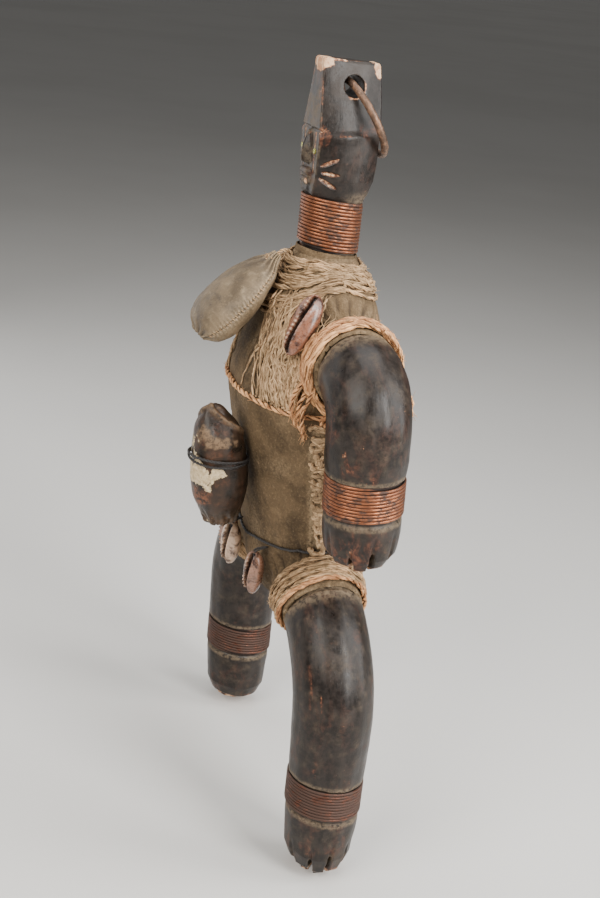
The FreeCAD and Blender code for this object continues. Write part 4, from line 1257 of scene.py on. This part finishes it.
# ---- limbs --------------------------------------------------------------
def make_limb(name, body, seed, flip, root, drop_deg, bend_r, back_deg, tilt, foot_z, profile, cuts,
              cut_height, tips, scuffs):
    """A bent limb carved from one stick, with fingers or toes cut in its end."""
    drop = math.radians(drop_deg)
    direction = np.array([math.cos(drop), 0, -math.sin(drop)])
    outer = np.array([math.sin(drop), 0, math.cos(drop)])
    centre = root - outer * bend_r
    arc = bend_r * math.radians(90 - drop_deg)
    end = arc + centre[2] - foot_z
    rows = np.linspace(-SEAT_LENGTH, end, int((SEAT_LENGTH + end) / 0.48))
    s, a = np.meshgrid(rows, circle(210), indexing="ij")
    turn = np.clip(s / bend_r, 0, math.radians(90 - drop_deg))[..., None]
    normal = outer * np.cos(turn) + direction * np.sin(turn)
    core = centre + normal * bend_r + direction * np.minimum(s, 0)[..., None]
    core[..., 2] -= np.maximum(s - arc, 0)
    to_s = [(arc + centre[2] - z, r) for z, r in profile]
    table = np.array([(-SEAT_LENGTH, SEAT_R), (-0.3, SEAT_R), (1.1, profile[0][1])] + to_s)
    level = s - ramp01(s, arc, arc + 8) * tilt * 16 * np.sin(a)
    r = np.interp(level, table[:, 0], table[:, 1])
    above = end - s
    depth = np.zeros_like(r)
    slit = np.zeros_like(r)
    for k, cut_deg in enumerate(cuts):
        away = np.radians(np.abs(wrapped(np.degrees(a), cut_deg))) * 15
        tall = cut_height * (1 + 0.18 * math.sin(seed + 2.1 * k))
        half = 0.8 + 1.1 * np.clip(1 - above / tall, 0, 1) ** 0.7
        depth = np.maximum(depth, 8.0 * ramp01(away, half, half * 0.35) * ramp01(above, tall, tall - 2.0))
        depth = np.maximum(depth, 1.1 * ramp01(away, 1.3, 0.1) * ramp01(above, tall + 9, tall))
        slit = np.maximum(slit, ramp01(away, half + 0.5, half * 0.6) * ramp01(above, tall + 2, tall - 1))
    point = np.stack([r * np.cos(a), r * np.sin(a), s], -1).reshape(-1, 3)
    lump = 0.26 * noise(point, 11, seed, 2) + 0.02 * noise(point * (1, 1, 0.2), 1.5, seed + 1, 2)
    facet = 0.16 * np.cos(a * 9 + 0.05 * s + seed) * np.cos(a * 4 + 1.3)
    r = r + lump.reshape(r.shape) + facet - depth
    shift = np.zeros_like(r)
    edges = list(cuts) + [cuts[0] + 360]
    for k, tip in enumerate(tips):
        low_edge, high_edge = (edges[k - 1], edges[k]) if k else (edges[-2] - 360, edges[0])
        where = (np.degrees(a) - low_edge) % 360 < (high_edge - low_edge)
        shift = np.where(where, tip, shift)
    core[..., 2] += shift * ramp01(above, cut_height + 3, 0) * (s > arc)
    around = normal * np.cos(a)[..., None] + np.array([0, 1.0, 0]) * np.sin(a)[..., None]
    skin = core + r[..., None] * around
    closing = []
    for part, rise in ((0.82, 0.1), (0.6, 0.7), (0.35, 1.1), (0.12, 1.2)):
        ring = core[-1] * (1 - part) + skin[-1] * part
        ring[:, 2] += rise
        closing.append(ring)
    skin = np.concatenate([skin, np.array(closing)])
    verts, faces = rings_to_part(skin)
    if back_deg:
        verts = spin(verts, ARM_ROOT, (1, 0, 0), back_deg)
    extra = len(verts) - s.size

    def at_verts(values, fill=0.0):
        return np.concatenate([values.ravel(), np.full(extra, fill)])

    grain = np.column_stack([at_verts(r * np.cos(a)), at_verts(r * np.sin(a)), at_verts(s, end)]) + seed * 7.0
    part = (verts, faces) if flip > 0 else mirrored((verts, faces))
    obj = build(name, part, WOOD)
    p = points_of(obj)
    wear = np.clip(edge_wear(obj, 3) * 0.9 - 0.08, 0, 0.6) * at_verts(ramp01(s, 6, 12), 1.0)
    tip_wear = at_verts(ramp01(above, 5.0, 1.0), 1.0) * 0.80 * ramp01(noise(p, 2.6, seed + 9, 2), -0.4, 0.2)
    chips = np.zeros_like(r)
    for chip_s, chip_deg, half_long, half_wide, strength in scuffs:
        off = np.hypot((s - chip_s) / half_long, wrapped(np.degrees(a), chip_deg) / half_wide)
        chips = np.maximum(chips, strength * ramp01(off, 1.0, 0.2))
    broken = ramp01(noise(grain * (1, 1, 0.4), 2.2, seed + 12, 3), -0.25, 0.5)
    paint(obj, "wear", np.clip(np.maximum(wear, tip_wear) + at_verts(chips) * broken * 0.7, 0, 0.95))
    red = at_verts(chips) * 1.1 + 0.25 * noise(p, 14, seed + 10) + 0.2 \
        + 0.35 * at_verts(ramp01(above, 30, 6), 1.0)
    paint(obj, "red", np.clip(red, 0, 1))
    edge_s = [arc + centre[2] - z for z in (profile[2][0] + 0.5, profile[5][0] - 0.7)]
    wire_edges = np.max([ramp01(np.abs(level - e), 2.0, 0.4) for e in edge_s], axis=0)
    hem = at_verts(np.maximum(ramp01(s, 6.5, 1.5), wire_edges * 0.8))
    paint(obj, "dust", np.clip(hem + at_verts(slit) * 0.5 - 0.2 * noise(p, 3, seed + 11, 2), 0, 1))
    paint(obj, "grain", grain)
    dress(obj, body, body)


# ---- hanging pieces -----------------------------------------------------
def make_pouch():
    """Leather pouch sewn along its sides, gathered at its neck, with a crimped lower end."""
    top, end = np.array([0, -23.0, 265.6]), np.array([0, -54.5, 231.0])
    along_pouch = unit(end - top)
    long = np.linalg.norm(end - top)
    wide = np.array([1.0, 0, 0])
    thick = np.cross(along_pouch, wide)
    table = np.array([(-0.03, 2.8, 1.6), (0.0, 3.6, 2.1), (0.06, 6.6, 3.1), (0.1, 10.0, 4.1),
                      (0.3, 16.7, 7.8), (0.6, 18.9, 10.0), (0.85, 16.0, 8.8), (0.95, 12.2, 6.4),
                      (1.0, 8.2, 3.6)])
    t, ang = np.meshgrid(np.linspace(-0.03, 1.0, 150), circle(200), indexing="ij")
    half_w = through(t.ravel(), table, 1).reshape(t.shape)
    half_t = through(t.ravel(), table, 2).reshape(t.shape)
    lens = np.sign(np.sin(ang)) * np.abs(np.sin(ang)) ** 1.02
    at_edge = np.exp(-(np.sin(ang) / 0.16) ** 2)
    pucker = 1 + at_edge * 0.010 * np.sin(t * long * 2 * math.pi / STITCH_PITCH)
    sag = 1 + 0.10 * ramp01(t, 0.35, 0.9) * (np.sin(ang) < 0)
    pinch = 1 - 0.30 * ramp01(t, 0.93, 1.0)
    body = top + along_pouch * (t * long)[..., None] + wide * (half_w * np.cos(ang) * pucker)[..., None] \
        + thick * (half_t * lens * sag * pinch)[..., None]
    obj = build("pouch_leather_bag", rings_to_part(body), POUCH)
    p, n = points_of(obj), normals_of(obj)
    tt, aa = np.append(t, [0, 0]), np.append(ang, [0, 0])
    gather = ramp01(tt, 0.30, 0.02)
    out = 0.45 * gather * np.sin(aa * 13 + 2 * noise(p, 6, 400)) \
        + 0.42 * noise(p, 12, 401, 2) * (1 - gather) + 0.12 * noise(p, 3.2, 402, 2)
    edge = np.exp(-(np.sin(aa) / 0.34) ** 2)
    wave = np.sin(tt * long * 2 * math.pi / STITCH_PITCH + 4 * noise(p, 5, 403))
    pull = edge * ramp01(tt, 0.1, 0.25) * 0.10 * wave
    crimp = ramp01(tt, 0.90, 1.0) * 0.5 * np.sin(aa * 11 + 1.5 * noise(p, 4, 404))
    ditch = 0.45 * np.exp(-(np.sin(aa) / 0.04) ** 2) * ramp01(tt, 0.08, 0.16)
    p = p + n * (out + pull + crimp - ditch)[:, None]
    move_points(obj, p)
    # painted shade in the seam ditches, the gathers, the crimps and the puckered seams
    crease_shade = ditch * 1.2 + 0.8 * gather * ramp01(-np.sin(aa * 13), 0.2, 0.9) + ramp01(-crimp, 0.15, 0.45) \
        + 0.5 * edge * ramp01(-pull, 0.08, 0.24)
    paint(obj, "crease_shade", np.clip(crease_shade, 0, 1))
    paint(obj, "rubbed", np.clip(edge_wear(obj, 4) * 1.3 + 0.35 * edge, 0, 1))
    dress(obj, "pouch", "chest_pouch")
    make_pouch_stitches(top, along_pouch * long, wide, thick, table)
    make_pouch_loop(top, along_pouch)


def make_pouch_stitches(top, length, wide, thick, table):
    """Overcast stitches down both sides of the pouch."""
    stitches = []
    for side in (1, -1):
        for down in np.arange(0.12, 0.97, 0.037):
            spot = top + length * down + wide * side * (through(down, table, 1) - 0.1)
            across = thick * 0.8 + unit(length) * 0.2
            path = spline([spot - across, spot + wide * side * 0.3, spot + across], 10)
            stitches.append(tube(path, 0.16, 6))
    piece("pouch_stitches", stitches, DUSTY_CORD, "pouch", "chest_pouch")


def make_pouch_loop(top, along_pouch):
    """The loop that hangs the pouch from the neck cords, and the tie round its neck."""
    pivot = np.array([0, -17.884, 266.3])
    a = circle(60)
    loop = pivot + np.column_stack([0.9 * np.sin(a), 3.1 * np.cos(a) - 1.0, 2.6 * np.sin(a)])
    parts = [twisted(loop, 0.72, 3.0, seed=410, closed=True)]
    tie_centre = top + along_pouch * 1.2
    tie = helix(tie_centre, along_pouch, 3.4, 1.1, 3.2, 40, 0, 0.2, 411)
    tie = tie_centre + (tie - tie_centre) * np.array([1.0, 0.85, 0.85])
    parts.append(twisted(tie, 0.7, 3.0, seed=412))
    parts.append(stray_fibres(tie, 0.7, 16, 3.0, 413))
    piece("pouch_loop_cord", parts, DUSTY_CORD, "pouch", "pouch_loop")


def make_amulet():
    """Hard packet of lacquered hide with a folded top and a gathered foot, and its two crossing ties."""
    top, end = np.array([13, -46.7, 202.0]), np.array([13, -40.9, 147.5])
    axis = unit(end - top)
    long = np.linalg.norm(end - top)
    front = unit(np.array([0, -1.0, 0]) - axis * np.dot((0, -1.0, 0), axis))
    left = np.cross(front, axis)
    table = np.array([(-0.02, 1.2), (0.0, 3.4), (0.06, 6.4), (0.14, 9.1), (0.25, 11.1), (0.4, 12.4),
                      (0.5, 12.7), (0.65, 12.5), (0.75, 11.8), (0.88, 9.2), (0.94, 7.5), (0.985, 6.2),
                      (1.0, 4.4)])
    t, ang = np.meshgrid(np.linspace(-0.02, 1.0, 190), circle(190), indexing="ij")
    r = through(t.ravel(), table, 1).reshape(t.shape)
    flat_top = 1 - 0.35 * ramp01(t, 0.22, 0.0) * np.abs(np.cos(ang)) ** 2
    tip_lean = ramp01(t, 0.30, -0.02) * 3.2
    waist = 1 - 0.035 * np.exp(-((t - 0.42) / 0.035) ** 2)
    body = top + axis * (t * long)[..., None] \
        + front * (r * np.sin(ang) * waist - tip_lean * 0.4)[..., None] \
        + left * (r * np.cos(ang) * flat_top * waist)[..., None] + front * (tip_lean * 0.9)[..., None]
    obj = build("amulet_packet", rings_to_part(body), AMULET)
    p, n = points_of(obj), normals_of(obj)
    tt, aa = np.append(t, [0, 1]), np.append(ang, [0, 0])
    gather = ramp01(tt, 0.80, 0.97)
    wrinkle = gather * (0.75 * np.sin(aa * 10 + 2.2 * noise(p, 5, 500)) + 0.4 * np.sin(aa * 17))
    fold_line = np.sin(aa + 0.6) * 3.2 + (tt - 0.12) * 22
    fold = 1.1 * ramp01(np.abs(fold_line), 1.2, 0.0) * ramp01(tt, 0.34, 0.2)
    dent = 0.55 * noise(p, 13, 501, 2) + 0.22 * noise(p * (1, 1, 0.5), 4.2, 502, 2)
    deg = np.degrees(aa)
    seam = ramp01(np.abs(wrapped(deg + 9 * noise(p, 9, 503), 152)), 5, 0.6) * ramp01(tt, 0.02, 0.1)
    move_points(obj, p + n * (wrinkle * 0.62 + fold + dent - 0.6 * seam)[:, None])
    rough = noise(p, 4.6, 510, 3)

    def spot(down, high, turn, half_turn):
        return np.hypot((tt - down) / high, wrapped(deg, turn) / half_turn)

    cream = ramp01(spot(0.52, 0.115, 62, 68) + 0.40 * rough, 1.05, 0.66)
    upper = ramp01(spot(0.27, 0.13, 92, 44) + 0.6 * rough, 1.0, 0.5) * 0.62
    scabs = ramp01(spot(0.22, 0.16, 50, 80) + 0.9 * rough, 0.9, 0.3)
    foot = gather * bump01(wrapped(deg, 62), 0, 78) * ramp01(rough, -0.1, 0.6) * 0.36
    paint(obj, "cream", np.clip(np.max([cream * 0.95, upper, foot], axis=0), 0, 1))
    red = ramp01(spot(0.72, 0.14, 96, 60) + 0.4 * rough, 1.1, 0.5) + 0.30 * ramp01(rough, 0.2, 0.9)
    paint(obj, "red", np.clip(red, 0, 1))
    paint(obj, "tan", np.clip(0.65 * scabs + 0.22 * gather + 0.5 * fold, 0, 1))
    dress(obj, "amulet", "belly_amulet")
    ties = []
    a = circle(220)
    for k, (tilt_deg, shift, start) in enumerate(((11.0, -0.3, -70), (6.5, 0.5, -120))):
        centre = top + axis * (0.42 * long + shift)
        ring = centre + 13.1 * (np.outer(np.cos(a), left) + np.outer(np.sin(a), front))
        climb = np.sin(a + math.radians(start - 90)) * 13.1 * math.tan(math.radians(tilt_deg))
        ring = ring + np.outer(climb, axis)
        ties.append(twisted(ring, 0.62, 3.4, seed=520 + k, closed=True))
    piece("amulet_ties", ties, DARK_CORD, "amulet", "amulet_binding")


def cowrie_part(radius, top, end, outward, seed):
    """A cowrie with its toothed opening outward; also gives what its material reads."""
    top, end, outward = (np.asarray(v, float) for v in (top, end, outward))
    long = np.linalg.norm(end - top)
    axis = (end - top) / long
    outward = unit(outward - axis * np.dot(outward, axis))
    side = np.cross(axis, outward)
    u, ang = np.meshgrid(np.linspace(-0.998, 0.998, 120), circle(160), indexing="ij")
    taper = (1 - np.abs(u) ** 2.3) ** 0.5 * (1 - 0.10 * u)
    across = radius * taper * np.cos(ang) * 1.02
    face = np.sin(ang) > 0
    up = radius * taper * np.sin(ang) * np.where(face, 0.72, 0.96)
    off = across - 0.16 * radius * np.sin(u * 2.2) - 0.12 * radius
    half = 0.62 + 0.55 * np.abs(u) ** 1.5
    # the slit's dent is also painted near black: painted shade
    slit = face * ramp01(np.abs(off), half + 0.55, half * 0.7) * ramp01(np.abs(u), 0.97, 0.85)
    teeth = face * ramp01(np.abs(off), 3.0, 1.6) * ramp01(np.abs(off), half * 0.6, half + 0.5) \
        * ramp01(np.abs(u), 0.88, 0.74) * np.where(off > 0, 1.0, 0.12)
    ridge = 0.42 * np.cos(u * long / 2 * 2 * math.pi / 1.9)
    lip = face * 0.55 * np.exp(-((np.abs(off) - 1.7) / 0.9) ** 2) * ramp01(np.abs(u), 1.0, 0.8)
    up = up - slit * radius * 0.55 + teeth * ridge + lip
    body = (top + end) / 2 + axis * (u * long / 2)[..., None] + side * across[..., None] \
        + outward * up[..., None]
    verts, faces = rings_to_part(body)
    verts = verts + 0.10 * noise(verts, 3.0, seed)[:, None] * outward
    return (verts, faces), np.append(slit, [0, 0]), np.append(teeth * (ridge > 0), [0, 0])


def make_cowrie(name, body, node, radius, top, end, outward, seed, high, flip=1):
    """A cowrie on its body; high is how much of it is pale, from rubbing and from a painted highlight."""
    part, slit, teeth = cowrie_part(radius, top, end, outward, seed)
    obj = build(name, part if flip > 0 else mirrored(part), COWRIE)
    # painted shade in the slit, and the pale value of rubbing and painted highlight
    paint(obj, "slit", slit)
    paint(obj, "high", np.clip(high + 0.5 * teeth, 0, 1))
    dress(obj, body, node)


def make_ring():
    """Forged ring: a bent rod, a little flattened by the hammer, its ends meeting."""
    lean = math.radians(RING_REST_DEG)
    down = np.array([0, math.sin(lean), -math.cos(lean)])
    centre = HOLE + down * (RING_R - RING_TOP)
    a = circle(240)
    wobble = 1 + 0.004 * np.sin(3 * a + 1) + 0.003 * np.sin(5 * a)
    path = centre + (RING_R * wobble)[:, None] * (np.outer(np.cos(a), [1, 0, 0]) + np.outer(np.sin(a), down))
    thick = RING_WIRE_R * (0.97 + 0.035 * noise(path, 6, 600, 2) - 0.16 * np.exp(-((a - 3.9) / 0.02) ** 2))
    obj = build("forged_ring", tube(path, thick, 22, closed=True), IRON)
    p = points_of(obj)
    move_points(obj, p + normals_of(obj) * (0.07 * noise(p, 2.4, 601, 2))[:, None])
    dress(obj, "ring", "head_ring")


# ---- the doll -----------------------------------------------------------
# a limb's profile is height and radius, down from its bend; cuts part its fingers or toes, in degrees;
# a scuff is its place along the limb, its angle, half length, half width in degrees, and strength
ARM = dict(
    root=ARM_ROOT, drop_deg=0.0, bend_r=ARM_BEND_R, back_deg=ARM_BACK_DEG, tilt=0.0, foot_z=152.7,
    profile=[(211.4, 17.5), (201, 17.4), (193.2, 16.6), (192.6, 15.6), (176.0, 15.6), (175.4, 16.3),
             (172, 16.5), (168, 16.4), (159.5, 15.3), (155, 13.2), (152.7, 9.2)],
    cuts=(-75, -35, 0, 35), cut_height=10.0, tips=(2.8, 1.6, 0.0, 0.9),
    scuffs=((38, -48, 9, 24, 0.75), (46, -20, 6, 30, 0.6), (24, -75, 12, 12, 0.35), (78, -40, 9, 36, 0.8)),
)
LEG = dict(
    root=LEG_ROOT, drop_deg=LEG_DROP_DEG, bend_r=LEG_BEND_R, back_deg=0.0, tilt=0.09, foot_z=5.0,
    profile=[(75.8, 17.7), (62, 17.3), (52.2, 16.8), (51.4, 15.7), (35.6, 15.7), (35.0, 16.3), (32, 16.3),
             (26, 15.9), (15, 15.0), (7.6, 12.8), (5.0, 9.5)],
    cuts=(-70, -30, 5, 40), cut_height=10.6, tips=(2.6, 0.9, 0.0, 0.7),
    scuffs=((34, -52, 13, 4, 0.9), (38, -36, 6, 3, 0.7), (68, -38, 9, 5, 0.85), (86, 10, 5, 30, 0.5)),
)
WRIST = ARM_ROOT + np.array([ARM_BEND_R, 0, 176.95 - ARM_ROOT[2]])
ANKLE = (74.06, 0, 36.8)
BELLY_SHELL_R = 4.85
BELLY_SHELL_LENGTH = 21.0


def belly_shell(name, body, node, x, y, z, outward, seed, high, flip=1):
    """A cowrie that hangs from the hip string."""
    end = (x, y, z - BELLY_SHELL_LENGTH)
    make_cowrie(name, body, node, BELLY_SHELL_R, (x, y, z), end, outward, seed, high, flip)


def make_side(k, side_name, flip, skin):
    """What the doll has on its left and on its right."""
    arm, leg = side_name + "_arm", side_name + "_leg"
    make_shoulder_lashing(k, side_name)
    make_hip_lashing(2 + k, side_name)
    make_chest_mat(skin, side_name, flip)
    make_side_seam(skin, side_name, flip)
    make_limb(side_name + "_carved_arm", arm, 700 + k, flip, **ARM)
    make_limb(side_name + "_carved_leg", leg, 720 + k, flip, **LEG)
    coil(side_name + "_wrist_coil", arm, side_name + "_wrist_wire", COPPER, WRIST, 16.34, 10.9, 0.0, 740 + k,
         ARM_BACK_DEG, flip)
    coil(side_name + "_ankle_coil", leg, side_name + "_ankle_wire", DARK_COPPER, ANKLE, 16.44, 10.2, 0.09,
         750 + k, 0.0, flip)
    make_cowrie(side_name + "_shoulder_shell", "torso", side_name + "_shoulder_cowrie", 5.8,
                (34.4, -13.8, 257.8), (39.8, -25.6, 233.4), (0.66, -0.68, 0.3), 760 + k, 0.05, flip)
    belly_shell(side_name + "_belly_shell", side_name + "_cowrie", side_name + "_belly_cowrie", 23, -26.4,
                136.5, (0.5, -0.86, 0), 770 + k, 0.18, flip)


def make_doll():
    """Every piece of the doll."""
    hide = make_hide()
    skin = Skin(hide)
    make_neck_cords(skin)
    make_chest_cord(skin)
    make_hip_string(skin)
    for k, (side_name, flip) in enumerate((("left", 1), ("right", -1))):
        make_side(k, side_name, flip, skin)
    # the middle shell's pale value of 0.9 is mostly a painted highlight over its red-brown
    belly_shell("middle_belly_shell", "middle_cowrie", "middle_belly_cowrie", 0, -31.4, 140.8,
                (0.6, -0.8, 0), 780, 0.9)
    make_head()
    make_eye_beads()
    coil("neck_coil", "head", "neck_wire", COPPER, (0, 0, 271.3), 12.93, 14.6, NECK_TILT, 790)
    make_ring()
    make_pouch()
    make_amulet()
    for node in ("stuffing", "pouch_filling"):
        bpy.data.objects[node].data.materials.clear()
        bpy.data.objects[node].data.materials.append(FILLING)


# ---- room, light and camera ---------------------------------------------
def area_light(name, place, target, size, power, color=(1, 1, 1)):
    """A soft light at a place, aimed at a target, both in doll millimetres."""
    light = bpy.data.lights.new(name, "AREA")
    light.shape = "RECTANGLE"
    light.size, light.size_y = size
    light.energy = power
    light.color = color
    obj = bpy.data.objects.new(name, light)
    obj.location = ORIGIN + np.asarray(place, float) * MM
    aim = Vector(np.asarray(target, float) - np.asarray(place, float))
    obj.rotation_euler = aim.to_track_quat("-Z", "Y").to_euler()
    bpy.context.scene.collection.objects.link(obj)
    return obj


def make_studio():
    """Pale floor, soft lights and a quiet grey world."""
    corners = [(-1, -1), (1, -1), (1, 1), (-1, 1)]
    ground = [(x * FLOOR_HALF, y * FLOOR_HALF, FLOOR_Z) for x, y in corners]
    floor = build("studio_floor", (ground, [(0, 1, 2, 3)]), FLOOR, smooth=False)
    lights = [
        area_light("key", (420, -620, 640), (20, 0, 190), (0.55, 0.55), 8.0, (1.0, 0.96, 0.90)),
        area_light("side", (700, 300, 560), (20, 0, 230), (0.30, 0.60), 11.0, (1.0, 0.98, 0.95)),
        area_light("rear_side", (330, 620, 470), (20, 0, 200), (0.30, 0.8), 6.0, (1.0, 0.99, 0.97)),
        area_light("top", (0, 60, 900), (0, 0, 200), (0.6, 0.6), 5.0),
        area_light("far_fill", (-500, -420, 380), (0, 0, 200), (0.7, 0.7), 2.5),
    ]
    world = bpy.data.worlds.new("studio")
    world.use_nodes = True
    sky = world.node_tree.nodes["Background"]
    sky.inputs["Color"].default_value = (0.85, 0.84, 0.82, 1)
    sky.inputs["Strength"].default_value = 0.17
    bpy.context.scene.world = world


def make_camera():
    """The view from the doll's left front, from above, with the camera rolled a little."""
    turn, pitch, roll = (math.radians(v) for v in (CAMERA_TURN, CAMERA_PITCH, CAMERA_ROLL))
    level = np.array([math.cos(turn), math.sin(turn), 0.0])
    ahead = np.array([-math.sin(turn), math.cos(turn), 0.0])
    forward = ahead * math.cos(pitch) - np.array([0.0, 0.0, math.sin(pitch)])
    upright = np.cross(level, forward)
    right = level * math.cos(roll) + upright * math.sin(roll)
    up = upright * math.cos(roll) - level * math.sin(roll)
    camera = bpy.data.objects.new("camera", bpy.data.cameras.new("camera"))
    camera.data.lens = CAMERA_LENS
    camera.data.sensor_width = 36.0
    matrix = np.eye(4)
    matrix[:3, 0], matrix[:3, 1], matrix[:3, 2] = right, up, -forward
    matrix[:3, 3] = ORIGIN + CAMERA_PLACE * MM
    camera.matrix_world = Matrix(matrix.tolist())
    bpy.context.scene.collection.objects.link(camera)
    bpy.context.scene.camera = camera


make_doll()
make_studio()
make_camera()
